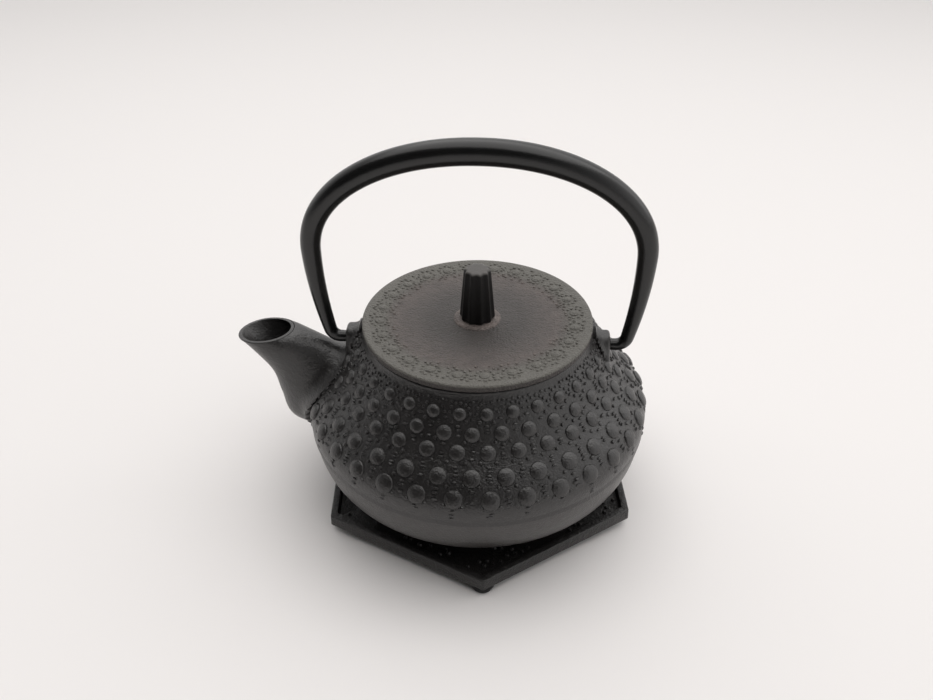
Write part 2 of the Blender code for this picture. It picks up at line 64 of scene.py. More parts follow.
# Pot casting
BODY_RADIUS = 0.0720
RIDGE_SET_BACK = 0.0008
RIDGE_STEP = 0.0007
SHOULDER_SET_BACK = 0.01154
SHOULDER_SWELL = math.radians(8.57)
MOUTH_SWELL = math.radians(1.54)
BOWL_BASE_RADIUS = 0.0465
FOOT_RING_RADIUS = 0.0440
FOOT_RING_WIDTH = 0.0060
BOWL_BASE_H = 0.00385
RIDGE_H = 0.03085
WIDEST_H = 0.03585
SHOULDER_H = 0.05325
MOUTH_H = 0.07365
MOUTH_LAND_RADIUS = 0.0460
MOUTH_BORE = 0.0394
BOWL_POWER = 2.1
WALL = 0.0034
FLOOR = 0.0036
NECK_DEPTH = 0.0045
REBATE_WIDTH = 0.0030
REBATE_DEPTH = 0.0010
FOOT_RING_ROUND = 0.0008
FOOT_RECESS = 0.0015
MOUTH_LAND_ROUND = 0.0006
POT_AROUND = 192

# Lugs and hooks
HINGE_H = 0.06535
LUG_PROUD = 0.0024
LUG_HALF_WIDTH = 0.0046
LUG_SPREAD = 0.0035
LUG_OVER_HINGE = 0.0053
LUG_DEPTH = 0.0130
LUG_ROUND = 0.0013
LUG_FILLET = 0.0030
LUG_POWER = 4.2
HOOK_RADIUS = 0.0022
HOOK_PLAY = 0.00055
HOOK_ENGAGE = 0.0038
HOOK_BEND = 0.0045
HOOK_LEAN = math.radians(11.6)
HOOK_TIP_ROUND = 0.0005
HOLE_PAST_LUG = 0.0020
GAP = 0.0003

# Spout outline in the pot's mid-plane, as (out from the widest radius, up from the widest height)
SPOUT_UPPER = (
    (0.0045, 0.0324), (0.0008, 0.0316), (-0.0075, 0.0279),
    (-0.0155, 0.0230), (-0.0210, 0.0188), (-0.0250, 0.0138),
)
SPOUT_LOWER = (
    (0.0280, 0.0300), (0.0222, 0.0228), (0.0157, 0.0123),
    (0.0133, 0.0016), (0.0095, -0.0102), (-0.0060, -0.0162),
)
SPOUT_HALF_WIDTHS = (0.0097, 0.0098, 0.0094, 0.0113, 0.0143, 0.0146)
SPOUT_LIP_WALL = 0.0013
SPOUT_ROOT_WALL = 0.0030
SPOUT_CUT_PAST = 0.0030
SPOUT_LIP_ROUND = 0.0004

# Beads on the belly: rows from the shoulder down, as (height, dome radius, bearing of the first dome in degrees)
PITCH = 11.25
BEAD_COUNT = 32
BEAD_ROWS = (
    (0.06705, 0.00260, -4.2), (0.06095, 0.00300, 1.4), (0.05545, 0.00310, -4.2),
    (0.04895, 0.00350, 1.4), (0.04255, 0.00365, -4.2), (0.03530, 0.00300, 1.4),
)
BELLY_SUNK = 0.00060
BELLY_SUNK_EASE = 0.05  # share of the belly's outline over which it sinks, at each end
DASH_HALF_SIZES = (0.00125, 0.00058)
DOT_HALF_SIZES = (0.00090, 0.00086)
ARC_DOT_HALF_SIZES = (0.00068, 0.00066)
ARC_RADIUS = 0.0041
ARC_DOTS = 7
EDGE_DOT_HALF_SIZES = (0.00065, 0.0006)
EDGE_DOTS_H = 0.0710
EDGE_DOTS_PER_PITCH = 5
LAST_ROW_RISE = 0.6
UPPER_DOT_RISE = 0.8

# Handle
HANDLE_HALF_SPREAD = 0.0109
HANDLE_RISE = 0.0815
HANDLE_WIDEST_RISE = 0.0400
HANDLE_POWER = 2.08
HANDLE_TOP_RADIUS = 0.00505

# Lid and knob
LID_RADIUS = 0.04655
LID_RIM_THICKNESS = 0.00307
LID_DISH = 0.0010
LID_PLATE = 0.0030
LID_RIM_ROUND = 0.0014
LID_BLUNTNESS = 0.42
LID_SLOPE_SHARE = 0.28
BOSS_RADIUS = 0.0090
BOSS_HEIGHT = 0.0008
BOSS_FOOT_ROUND = 0.0006
BOSS_TOP_ROUND = 0.0004
SKIRT_RADIUS = 0.0371
SKIRT_WALL = 0.0023
SKIRT_DEPTH = 0.0057
SKIRT_ROUND = 0.0004
RIVET_HOLE_RADIUS = 0.0023
KNOB_HEIGHT = 0.0218
KNOB_BASE_RADIUS = 0.0072
KNOB_TOP_RADIUS = 0.0053
KNOB_FLUTES = 10
KNOB_FLUTE_DEPTH = 0.0007
KNOB_FLUTE_POWER = 1.3
KNOB_TOP_ROUND = 0.0010
# Depth under the knob's top over which its colour turns paler
KNOB_PALE_TOP_DEPTH = 0.0008
KNOB_TURN = math.radians(3.0)
RIVET_RADIUS = 0.0020
RIVET_IN_KNOB = 0.0090
RIVET_HEAD_RADIUS = 0.0040
RIVET_HEAD_HEIGHT = 0.0012
WASHER_RADIUS = 0.0055
WASHER_THICKNESS = 0.0008
FIXING_ROUND = 0.0002

# Flowers on the lid: a dome each, ringed by small dots, with loose dots about them
LID_FLOWERS = 24
LID_FLOWER_START = 7.4
LID_FLOWER_RADIUS = 0.0395
LID_DOME_RADIUS = 0.00205
LID_PETALS = 11
LID_PETAL_REACH = 0.00345
LID_DOT_RADIUS = 0.00068
LID_DOT_RISE = 0.00048
LID_LOOSE_DOTS = 700
LID_DOTS_INSIDE = 0.0335
LID_DOTS_OUTSIDE = 0.0436
LID_DOTS_LIMIT = 0.0437
LID_BAND_START = 0.0330
LID_BAND_END = 0.0375

# Infuser
BASKET_RADIUS = 0.0382
BASKET_DEPTH = 0.0400
SHEET = 0.0005
RIM_THICKNESS = 0.0006
COLLAR_DEPTH = 0.0055
COLLAR_CLEARANCE = 0.0005
BASE_RING_UPSTAND = 0.0045
BASE_RING_LIP = 0.0030
BASE_RING_ROUND = 0.0006
COLLAR_ROUND = 0.0003
FLANGE_INNER_ROUND = 0.0004
WALL_PLAIN_FOOT = 0.0062
WALL_PLAIN_TOP = 0.0010
FLOOR_PLAIN_EDGE = 0.0036

# Trivet
TRIVET_HALF_FLATS = 0.06305
TRIVET_THICKNESS = 0.00525
TRIVET_RECESS = 0.0022
TRIVET_RIM = 0.0032
TRIVET_CORNER_ROUND = 0.0012
TRIVET_INNER_CORNER_ROUND = 0.0009
TRIVET_FLOOR_CORNER_ROUND = 0.0006
TRIVET_EDGE_ROUND = 0.0005
TRIVET_RIM_ROUND = 0.0004
TRIVET_DOT_TRIES = 2600
TRIVET_DOT_RADIUS = 0.00095
TRIVET_DOT_MARGIN = 0.0022
TRIVET_DOT_START = 0.0455
TRIVET_DOT_REACH = 0.066
TRIVET_TURN = math.radians(5.0)
FOOT_RADIUS = 0.0049
FOOT_BASE_RADIUS = 0.0041
FOOT_HEIGHT = 0.0040
FOOT_ROUND = 0.0004


def middle_x(node):
    """Half-way between the lowest and the highest x of a node's box."""
    low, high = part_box(node)
    return (low.x + high.x) / 2


# Where the parts stand
AXIS_X = middle_x("lid")
POT_ORIGIN = np.array([AXIS_X, 0.0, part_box("pot_body")[0].z])
LID_ORIGIN = np.array([AXIS_X, 0.0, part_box("lid")[1].z - LID_RIM_THICKNESS])
KNOB_ORIGIN = np.array([AXIS_X, 0.0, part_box("lid_knob")[0].z])
TRIVET_ORIGIN = np.array([AXIS_X, 0.0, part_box("trivet")[0].z])
INFUSER_ORIGIN = np.array([AXIS_X, 0.0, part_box("infuser_rim")[1].z - RIM_THICKNESS])
HINGE_ORIGIN = POT_ORIGIN + (0, 0, HINGE_H)

# Camera
CAMERA_TARGET = Vector((0.009505, -0.00037, 0.06761))
CAMERA_BEARING = math.radians(4.06)
CAMERA_ELEVATION = math.radians(35.35)
CAMERA_DISTANCE = 0.3514
CAMERA_ROLL = math.radians(-0.5)
CAMERA_LENS = 32.59

# The way towards the unlit side of the room, and the sky's tones from there round
DARK_SIDE = (-0.40, -0.66, 0.64)
SKY_TONES = ((0.10, (1.0, 0.985, 0.978, 1.0)), (0.80, (0.04, 0.04, 0.04, 1.0)))
FLOOR_REACH = 8.0
FLOOR_DROP = 0.00005

# Grain of a casting, one layer over another, as (scale, detail, strength, depth)
CAST_GRAIN = ((420.0, 3.0, 0.5, 0.0005), (1500.0, 2.0, 0.7, 0.0003))
LID_GRAIN = ((420.0, 3.0, 0.5, 0.0012), (1200.0, 2.0, 0.9, 0.0008))
KNOB_GRAIN = ((500.0, 3.0, 0.25, 0.0004), (1600.0, 3.0, 0.35, 0.0002))
TRIVET_GRAIN = ((450.0, 3.0, 0.4, 0.0008), (1300.0, 2.0, 0.6, 0.0005))
ENAMEL_GRAIN = ((160.0, 2.0, 0.10, 0.0006), (900.0, 3.0, 0.12, 0.0002))


# Curves


def unit(x, y):
    """The direction (x, y) divided by its length."""
    return np.array([x, y]) / math.hypot(x, y)


def rotated(way, angle):
    """The direction turned anticlockwise: cosine times itself plus sine times its left-hand normal."""
    return math.cos(angle) * way + math.sin(angle) * np.array([-way[1], way[0]])


def smooth_through(points, steps):
    """Catmull-Rom cubics through all the points, with steps samples to each stretch."""
    known = np.asarray(points, float)
    known = known[:, None] if known.ndim == 1 else known
    ends = np.vstack([2 * known[0] - known[1], known, 2 * known[-1] - known[-2]])
    t = np.linspace(0, 1, steps, endpoint=False)[None, :, None]
    a, b, c, d = (ends[i : i + len(known) - 1, None] for i in range(4))
    curve = 0.5 * (2 * b + (c - a) * t + (2 * a - 5 * b + 4 * c - d) * t**2 + (3 * b - a - 3 * c + d) * t**3)
    return np.vstack([curve.reshape(-1, known.shape[1]), known[-1:]])


def leg(start, start_way, end, end_way, steps):
    """A Hermite cubic between two points whose end slopes are the given directions times the distance apart."""
    start, end = np.asarray(start, float), np.asarray(end, float)
    reach = np.linalg.norm(end - start)
    first, last = np.asarray(start_way, float) * reach, np.asarray(end_way, float) * reach
    t = np.linspace(0, 1, steps)[:, None]
    return (
        (2 * t**3 - 3 * t**2 + 1) * start + (t**3 - 2 * t**2 + t) * first
        + (3 * t**2 - 2 * t**3) * end + (t**3 - t**2) * last
    )


def ways_along(curve):
    """Unit directions along the curve, from the differences between each point's neighbours."""
    way = np.gradient(curve, axis=0)
    return way / np.linalg.norm(way, axis=1, keepdims=True)


def lengths_along(curve):
    """How far each point lies from the curve's start, as the sum of the straight steps up to it."""
    return np.concatenate([[0], np.cumsum(np.linalg.norm(np.diff(curve, axis=0), axis=1))])


def full_turn(count):
    """Equal angles once round, from 0."""
    return np.arange(count) * 2 * math.pi / count


def inset_curve(curve, by):
    """The curve moved square to itself by the given depth."""
    way = ways_along(curve)
    return curve + by * np.stack([-way[:, 1], way[:, 0]], axis=-1)


def bowl_curve(ridge_step, steps):
    """The lower bowl: a superellipse from the foot's top out to the ridge, as (radius, height)."""
    turn = np.linspace(0, math.pi / 2, steps)
    radius = BODY_RADIUS - RIDGE_SET_BACK - ridge_step
    top = RIDGE_H - 0.5 * RIDGE_STEP
    return np.stack([
        BOWL_BASE_RADIUS + (radius - BOWL_BASE_RADIUS) * np.sin(turn) ** (2 / BOWL_POWER),
        top - (top - BOWL_BASE_H) * np.cos(turn) ** (2 / BOWL_POWER),
    ], axis=-1)


def belly_curve(steps):
    """Three Hermite cubics from the ridge over the widest place and the shoulder to the mouth's land."""
    widest = np.array([BODY_RADIUS, WIDEST_H])
    shoulder = np.array([BODY_RADIUS - SHOULDER_SET_BACK, SHOULDER_H])
    mouth = np.array([MOUTH_LAND_RADIUS, MOUTH_H])
    below, above = unit(*(shoulder - widest)), unit(*(mouth - shoulder))
    way_up = rotated(unit(*(below + above)), SHOULDER_SWELL)
    return np.vstack([
        leg((BODY_RADIUS - RIDGE_SET_BACK, RIDGE_H), unit(0.25, 1), widest, (0, 1), steps),
        leg(widest, (0, 1), shoulder, way_up, 3 * steps)[1:],
        leg(shoulder, way_up, mouth, rotated(above, MOUTH_SWELL), 3 * steps)[1:],
    ])


def body_curve(ridge_step=RIDGE_STEP, bowl_steps=40, belly_steps=12):
    """The pot's whole outline: the bowl's superellipse, then the belly's three cubics."""
    return np.vstack([bowl_curve(ridge_step, bowl_steps), belly_curve(belly_steps)])


def lug_face():
    """How far the lugs' outer faces stand from the pot's axis."""
    curve = body_curve()
    return float(np.interp(HINGE_H, curve[:, 1], curve[:, 0])) + LUG_PROUD


def beyond_body(points):
    """How far each point stands outside the pot's turned outline, below 0 inside, and the way out there."""
    curve = body_curve()
    way = ways_along(curve)
    flat = points.reshape(-1, 3)
    radius = np.hypot(flat[:, 0], flat[:, 1])
    apart = np.hypot(radius[:, None] - curve[:, 0], flat[:, 2:] - curve[:, 1])
    nearest = apart.argmin(axis=1)
    out = np.stack([way[nearest, 1], -way[nearest, 0]], axis=-1)
    side = (radius - curve[nearest, 0]) * out[:, 0] + (flat[:, 2] - curve[nearest, 1]) * out[:, 1]
    distance = np.where(side < 0, -1, 1) * apart.min(axis=1)
    turned_out = np.concatenate([flat[:, :2] / radius[:, None] * out[:, :1], out[:, 1:]], axis=1)
    return distance.reshape(points.shape[:-1]), turned_out.reshape(points.shape)


def flared(rings, round_radius):
    """Rings that widen into the pot's side as a quarter circle does, least where they run along it."""
    away = rings - rings.mean(axis=1, keepdims=True)
    away /= np.linalg.norm(away, axis=-1, keepdims=True)
    apart, out = beyond_body(rings)
    near = np.clip(1 - apart / round_radius, 0, 1)
    fillet = round_radius * (1 - np.sqrt(1 - near**2)) * np.clip(1 + apart / round_radius, 0, 1)
    across = 1 - (away * out).sum(axis=-1) ** 2
    return rings + (fillet * across)[..., None] * away


# Shells: points, four-sided faces and three-sided faces


def ringed(rings, closed_rows=False):
    """A shell of quads between neighbouring rings of points, ended by fans or closed on itself."""
    rings = np.asarray(rings, float)
    count, around = rings.shape[:2]
    i = np.arange(around)
    j = (i + 1) % around
    low = np.arange(count if closed_rows else count - 1)[:, None] * around
    high = (low + around) % (count * around)
    quads = np.stack([low + i, low + j, high + j, high + i], axis=-1).reshape(-1, 4)
    points = rings.reshape(-1, 3)
    if closed_rows:
        return outwards(points, quads, np.empty((0, 3), int))
    first, last = len(points), (count - 1) * around
    points = np.vstack([points, rings[0].mean(axis=0), rings[-1].mean(axis=0)])
    fans = np.vstack([
        np.stack([j, i, np.full(around, first)], axis=-1),
        np.stack([last + i, last + j, np.full(around, first + 1)], axis=-1),
    ])
    return outwards(points, quads, fans)


def outwards(points, quads, triangles):
    """The shell with its faces turned so that its volume is more than 0."""
    cut = np.vstack([quads[:, [0, 1, 2]], quads[:, [0, 2, 3]], triangles])
    a, b, c = (points[cut[:, k]] - points.mean(axis=0) for k in range(3))
    if np.einsum("ij,ij->i", a, np.cross(b, c)).sum() < 0:
        return points, quads[:, ::-1], triangles[:, ::-1]
    return points, quads, triangles


def turned(profile, around, closed_rows=False):
    """A profile of (radius, height) turned about the upright axis."""
    profile = np.asarray(profile, float)
    angle = full_turn(around)
    heights = np.repeat(profile[:, 1:], around, axis=1)
    rings = np.stack([profile[:, :1] * np.cos(angle), profile[:, :1] * np.sin(angle), heights], axis=-1)
    return ringed(rings, closed_rows)


def joined(*shells):
    """One shell from several, with the indices of each moved past the ones before."""
    starts = np.cumsum([0] + [len(s[0]) for s in shells[:-1]])
    return tuple(
        np.vstack([s[k] + (start if k else 0) for s, start in zip(shells, starts)]) for k in range(3)
    )


def round_curve(centre, radius, start, end, steps):
    """An arc of a circle as (radius, height), between two angles in degrees."""
    turn = np.radians(np.linspace(start, end, steps))
    return np.stack([centre[0] + radius * np.cos(turn), centre[1] + radius * np.sin(turn)], axis=-1)


def studs(at, normal, along, half_along, half_up, height, sides, rows, sunk=0.0008):
    """Many caps at once: half an ellipsoid each over an oval edge, on a narrower root sunk below the surface."""
    turn = full_turn(sides)
    lean = np.linspace(0, math.pi / 2, rows + 1)[:-1]
    root_share = 0.9
    reach = np.concatenate([[root_share], np.cos(lean)])
    rise = np.concatenate([[0.0], np.sin(lean)])
    drop = np.concatenate([[1.0], np.zeros(rows)])
    template = np.stack([
        reach[:, None] * np.cos(turn), reach[:, None] * np.sin(turn), np.repeat(rise[:, None], sides, axis=1),
        np.repeat(drop[:, None], sides, axis=1),
    ], axis=-1)
    flat, quads, fans = ringed(template[..., :3])
    x, y = flat[:, 0], flat[:, 1]
    lift = np.append(template[..., 2].ravel(), [0.0, 1.0])
    sink = np.append(template[..., 3].ravel(), [1.0, 0.0])
    across = np.cross(normal, along)
    count, size = len(at), len(flat)
    points = (
        at[:, None] + along[:, None] * (half_along[:, None] * x)[..., None]
        + across[:, None] * (half_up[:, None] * y)[..., None]
        + normal[:, None] * (height[:, None] * lift - sunk * sink)[..., None]
    )
    shift = (np.arange(count) * size)[:, None, None]
    return points.reshape(-1, 3), (quads + shift).reshape(-1, 4), (fans + shift).reshape(-1, 3)


def thinned(at, reach, closeness=0.95):
    """A mask that keeps each stud unless an earlier one stands nearer than the sum of their reaches."""
    apart = np.linalg.norm(at[:, None] - at[None], axis=-1)
    clash = np.triu(apart < closeness * (reach[:, None] + reach[None]), 1)
    return ~clash.any(axis=0)


# Meshes


def to_object(name, shell, origin):
    """A linked object at the world's origin, with the shell's points moved by the given origin."""
    points, quads, triangles = shell
    mesh = bpy.data.meshes.new(name)
    corners = np.concatenate([quads.ravel(), triangles.ravel()])
    starts = np.concatenate([np.arange(len(quads)) * 4, len(quads) * 4 + np.arange(len(triangles)) * 3])
    mesh.vertices.add(len(points))
    mesh.vertices.foreach_set("co", (points + np.asarray(origin)).astype(np.float32).ravel())
    mesh.loops.add(len(corners))
    mesh.loops.foreach_set("vertex_index", corners.astype(np.int32))
    mesh.polygons.add(len(starts))
    mesh.polygons.foreach_set("loop_start", starts.astype(np.int32))
    mesh.update(calc_edges=True)
    mesh.validate()
    obj = bpy.data.objects.new(name, mesh)
    bpy.context.scene.collection.objects.link(obj)
    return obj


def combined(obj, steps):
    """The object joined with or cut by each helper in turn, baked into its mesh, with the helpers removed."""
    for operation, other in steps:
        step = obj.modifiers.new(operation.lower(), "BOOLEAN")
        step.operation = operation
        step.solver = "MANIFOLD"
        step.object = other
    bpy.context.view_layer.update()
    baked = bpy.data.meshes.new_from_object(obj.evaluated_get(bpy.context.evaluated_depsgraph_get()))
    old = obj.data
    obj.modifiers.clear()
    obj.data = baked
    baked.name = obj.name
    bpy.data.meshes.remove(old)
    for _, other in steps:
        helper = other.data
        bpy.data.objects.remove(other)
        bpy.data.meshes.remove(helper)
    if not len(baked.polygons):
        raise RuntimeError(f"{obj.name} was left with no faces")
    return obj


def finish_piece(obj, look, body, node, sharp=32.0):
    """Smooth shading with sharp edges kept, its finish, and what it stands for."""
    obj.data.shade_smooth()
    obj.data.set_sharp_from_angle(angle=math.radians(sharp))
    obj.data.materials.clear()
    obj.data.materials.append(look)
    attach(obj, body)
    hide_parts(node)


# Finishes


def node_at(tree, kind, x, y, **inputs):
    """A shader node at a place in the tree, with its named inputs set, where _ stands for a space."""
    made = tree.nodes.new(kind)
    made.location = (x, y)
    for name, value in inputs.items():
        made.inputs[name.replace("_", " ")].default_value = value
    return made


def tone_ramp(tree, x, y, tones):
    """A colour ramp between two tones, each a position and a colour with its alpha."""
    ramp = tree.nodes.new("ShaderNodeValToRGB")
    ramp.location = (x, y)
    for element, (position, tone) in zip(ramp.color_ramp.elements, tones):
        element.position = position
        element.color = tone
    return ramp


def darker(colour, share):
    """Each part of the colour times the share."""
    return tuple(share * c for c in colour)


def finish_of(name, roughness, metallic=0.0, specular=0.5):
    """A material, its node tree and its shader."""
    made = bpy.data.materials.new(name)
    made.use_nodes = True
    shader = made.node_tree.nodes["Principled BSDF"]
    shader.inputs["Roughness"].default_value = roughness
    shader.inputs["Metallic"].default_value = metallic
    shader.inputs["Specular IOR Level"].default_value = specular
    return made, made.node_tree, shader


def mottled(tree, shader, dark, light, patch_scale, rough_low, rough_high):
    """Base colour and roughness that wander between two values with soft patches of noise."""
    where = node_at(tree, "ShaderNodeTexCoord", -1100, 0)
    patches = node_at(tree, "ShaderNodeTexNoise", -900, 200, Scale=patch_scale, Detail=6.0, Roughness=0.62)
    tree.links.new(where.outputs["Object"], patches.inputs["Vector"])
    ramp = tone_ramp(tree, -600, 200, ((0.34, (*dark, 1.0)), (0.68, (*light, 1.0))))
    tree.links.new(patches.outputs["Fac"], ramp.inputs["Fac"])
    tree.links.new(ramp.outputs["Color"], shader.inputs["Base Color"])
    spread = node_at(tree, "ShaderNodeMapRange", -600, -60, To_Min=rough_low, To_Max=rough_high)
    tree.links.new(patches.outputs["Fac"], spread.inputs["Value"])
    tree.links.new(spread.outputs["Result"], shader.inputs["Roughness"])
    return where


def grained(tree, shader, where, layers):
    """Bumps laid one over another, each from noise of its own scale, strength and depth."""
    normal = None
    for number, (scale, detail, strength, depth) in enumerate(layers):
        x, y = -600 + 180 * number, -300 - 260 * number
        grain = node_at(tree, "ShaderNodeTexNoise", -900, y, Scale=scale, Detail=detail)
        bump = node_at(tree, "ShaderNodeBump", x, y, Strength=strength, Distance=depth)
        tree.links.new(where.outputs["Object"], grain.inputs["Vector"])
        tree.links.new(grain.outputs["Fac"], bump.inputs["Height"])
        if normal:
            tree.links.new(normal, bump.inputs["Normal"])
        normal = bump.outputs["Normal"]
    tree.links.new(normal, shader.inputs["Normal"])


def grained_finish(name, light, dark_share, patch_scale, rough, specular, layers):
    """A casting or an enamel: patches of a tone and a darker one, with fine grain over them."""
    made, tree, shader = finish_of(name, rough[0], specular=specular)
    where = mottled(tree, shader, darker(light, dark_share), light, patch_scale, *rough)
    grained(tree, shader, where, layers)
    return made


def blended(tree, share, colour, y):
    """Blends the shader's base colour, as it is by now, into another one by a share from 0 to 1."""
    shader = tree.nodes["Principled BSDF"]
    colours = shader.inputs["Base Color"].links[0].from_socket
    blend = tree.nodes.new("ShaderNodeMix")
    blend.data_type = "RGBA"
    blend.location = (-300, y)
    factor, first, second, result = blend.inputs["Factor"], blend.inputs[6], blend.inputs[7], blend.outputs[2]
    tree.links.new(share, factor)
    tree.links.new(colours, first)
    second.default_value = (*colour, 1.0)
    tree.links.new(result, shader.inputs["Base Color"])


def between_heights(tree, none_at, all_at, colour, y):
    """Blends the base colour into another one, from none of it at one height to all of it at another."""
    where = node_at(tree, "ShaderNodeTexCoord", -1100, y)
    parts = node_at(tree, "ShaderNodeSeparateXYZ", -900, y)
    share = node_at(tree, "ShaderNodeMapRange", -700, y, From_Min=none_at, From_Max=all_at)
    tree.links.new(where.outputs["Object"], parts.inputs["Vector"])
    tree.links.new(parts.outputs["Z"], share.inputs["Value"])
    blended(tree, share.outputs["Result"], colour, y - 100)


def brushed_finish(name, colour, brush):
    """Steel with fine scratches: noise stretched along one way of the sheet."""
    made, tree, shader = finish_of(name, 0.26, metallic=1.0)
    shader.inputs["Base Color"].default_value = (*colour, 1.0)
    where = node_at(tree, "ShaderNodeTexCoord", -1300, 0)
    stretch = node_at(tree, "ShaderNodeMapping", -1100, 0, Scale=brush)
    tree.links.new(where.outputs["Object"], stretch.inputs["Vector"])
    grain = node_at(tree, "ShaderNodeTexNoise", -900, 0, Scale=60.0, Detail=4.0)
    tree.links.new(stretch.outputs["Vector"], grain.inputs["Vector"])
    spread = node_at(tree, "ShaderNodeMapRange", -600, 0, To_Min=0.2, To_Max=0.36)
    tree.links.new(grain.outputs["Fac"], spread.inputs["Value"])
    tree.links.new(spread.outputs["Result"], shader.inputs["Roughness"])
    bump = node_at(tree, "ShaderNodeBump", -600, -260, Strength=0.12, Distance=0.0001)
    tree.links.new(grain.outputs["Fac"], bump.inputs["Height"])
    tree.links.new(bump.outputs["Normal"], shader.inputs["Normal"])
    return made


# Pot


def oval_rings(upper, lower, half_width, around):
    """Ovals between the outline's sides: middle plus reach times the cosine, and width times the sine."""
    turn = full_turn(around)
    middle, reach = (upper + lower) / 2, (upper - lower) / 2
    out = middle[:, :1] + reach[:, :1] * np.cos(turn)
    up = middle[:, 1:] + reach[:, 1:] * np.cos(turn)
    return np.stack([-(BODY_RADIUS + out), half_width[:, None] * np.sin(turn), WIDEST_H + up], axis=-1)


def spout_sides(steps=12):
    """The spout's upper side, lower side and half width, each a smooth curve through its points."""
    return (
        smooth_through(SPOUT_UPPER, steps), smooth_through(SPOUT_LOWER, steps),
        smooth_through(SPOUT_HALF_WIDTHS, steps)[:, 0],
    )


def lip_ways(upper, lower):
    """The way across the spout's mouth in its outline, and the way out of the mouth in space."""
    across = unit(*(upper[0] - lower[0]))
    return across, np.array([across[1], 0, across[0]])


def spout_skin(fillet):
    """The spout's outside: flared ovals, with a small round at the lip."""
    upper, lower, half_width = spout_sides()
    rings = flared(oval_rings(upper, lower, half_width, 56), fillet)
    _, out_of_lip = lip_ways(upper, lower)
    centre = rings[0].mean(axis=0)
    turn = np.linspace(math.pi / 2, 0, 4)[:-1]
    inward = (centre - rings[0]) / np.linalg.norm(rings[0] - centre, axis=1, keepdims=True)
    lip = [
        rings[0] + SPOUT_LIP_ROUND * ((1 - math.cos(t)) * inward + (1 - math.sin(t)) * out_of_lip) for t in turn
    ]
    rings[0] = rings[0] + SPOUT_LIP_ROUND * out_of_lip
    return ringed([*lip, *rings])


def spout_channel():
    """The way through the spout: ovals set in by a wall that thickens towards the pot, run on past both ends."""
    upper, lower, half_width = spout_sides()
    share = np.minimum(1, np.linspace(0, 2, len(upper)))[:, None]
    wall = SPOUT_LIP_WALL + (SPOUT_ROOT_WALL - SPOUT_LIP_WALL) * share
    inner_upper, inner_lower = inset_curve(upper, wall), inset_curve(lower, -wall)
    across, out_of_lip = lip_ways(upper, lower)
    inner_upper[0] = upper[0] - SPOUT_LIP_WALL * across
    inner_lower[0] = lower[0] + SPOUT_LIP_WALL * across
    rings = oval_rings(inner_upper, inner_lower, half_width - wall[:, 0], 64)
    into_pot = rings[-1].mean(axis=0) - rings[-8].mean(axis=0)
    into_pot *= 3 * SPOUT_CUT_PAST / np.linalg.norm(into_pot)
    return ringed(np.vstack([rings[:1] - SPOUT_CUT_PAST * out_of_lip, rings, rings[-1:] + into_pot]))


def lug_block(side):
    """Rounded-square sections that widen downwards, flared into the shoulder and rounded at the outer face."""
    face = lug_face()
    back = MOUTH_BORE + REBATE_WIDTH + 0.5 * WALL
    top, low = HINGE_H + LUG_OVER_HINGE, HINGE_H - LUG_DEPTH
    around, straight = 72, 14
    turn = full_turn(around)
    power = 2 / LUG_POWER
    y = np.sign(np.cos(turn)) * np.abs(np.cos(turn)) ** power
    z = np.sign(np.sin(turn)) * np.abs(np.sin(turn)) ** power
    bend = np.linspace(0, math.pi / 2, 6)[1:]
    stations = np.concatenate([
        np.linspace(back, face - LUG_ROUND, straight), face - LUG_ROUND * (1 - np.sin(bend)),
    ])
    inset = np.concatenate([np.zeros(straight), LUG_ROUND * (1 - np.cos(bend))])
    height = (top + low) / 2 + ((top - low) / 2 - inset[:, None]) * z
    half = LUG_HALF_WIDTH + LUG_SPREAD * np.clip((top - height) / (top - low), 0, 1) - inset[:, None]
    rings = np.stack([np.repeat(stations[:, None], around, axis=1), half * y, height], axis=-1)
    rings = flared(rings, LUG_FILLET)
    rings[..., 0] *= side
    return ringed(rings)


def hook_hole(side):
    """A cylinder on the hinge's axis, from behind the hook's tip to past the lug's face."""
    face = lug_face()
    turn = full_turn(32)
    radius = HOOK_RADIUS + HOOK_PLAY
    return ringed([
        np.stack([np.full_like(turn, side * x), radius * np.cos(turn), HINGE_H + radius * np.sin(turn)], axis=-1)
        for x in (face - HOOK_ENGAGE - 2 * GAP, face + HOLE_PAST_LUG)
    ])


def pot_cavity():
    """The room inside the casting: its outline set in by the wall, then the neck, the rebate and the way out."""
    inner = inset_curve(body_curve(ridge_step=0), WALL)
    floor_h = BOWL_BASE_H + FLOOR
    neck_h = MOUTH_H - NECK_DEPTH
    under_neck_h = neck_h - 0.5 * NECK_DEPTH
    clear = 0.0006
    inner = inner[(inner[:, 1] > floor_h + clear) & (inner[:, 1] < under_neck_h - clear)]
    open_h, ledge_h = MOUTH_H + NECK_DEPTH, MOUTH_H - REBATE_DEPTH
    rebate_radius = MOUTH_BORE + REBATE_WIDTH
    floor_corner, neck_slope, neck_chamfer = 0.0020, 0.4, 0.0004
    neck_foot = MOUTH_BORE + neck_slope * (inner[-1, 0] - MOUTH_BORE)
    return turned([
        (NEAR_AXIS, floor_h), (inner[0, 0] - floor_corner, floor_h), *inner,
        (neck_foot, under_neck_h), (MOUTH_BORE, neck_h - neck_chamfer), (MOUTH_BORE, ledge_h),
        (rebate_radius, ledge_h), (rebate_radius, open_h), (NEAR_AXIS, open_h),
    ], 144)


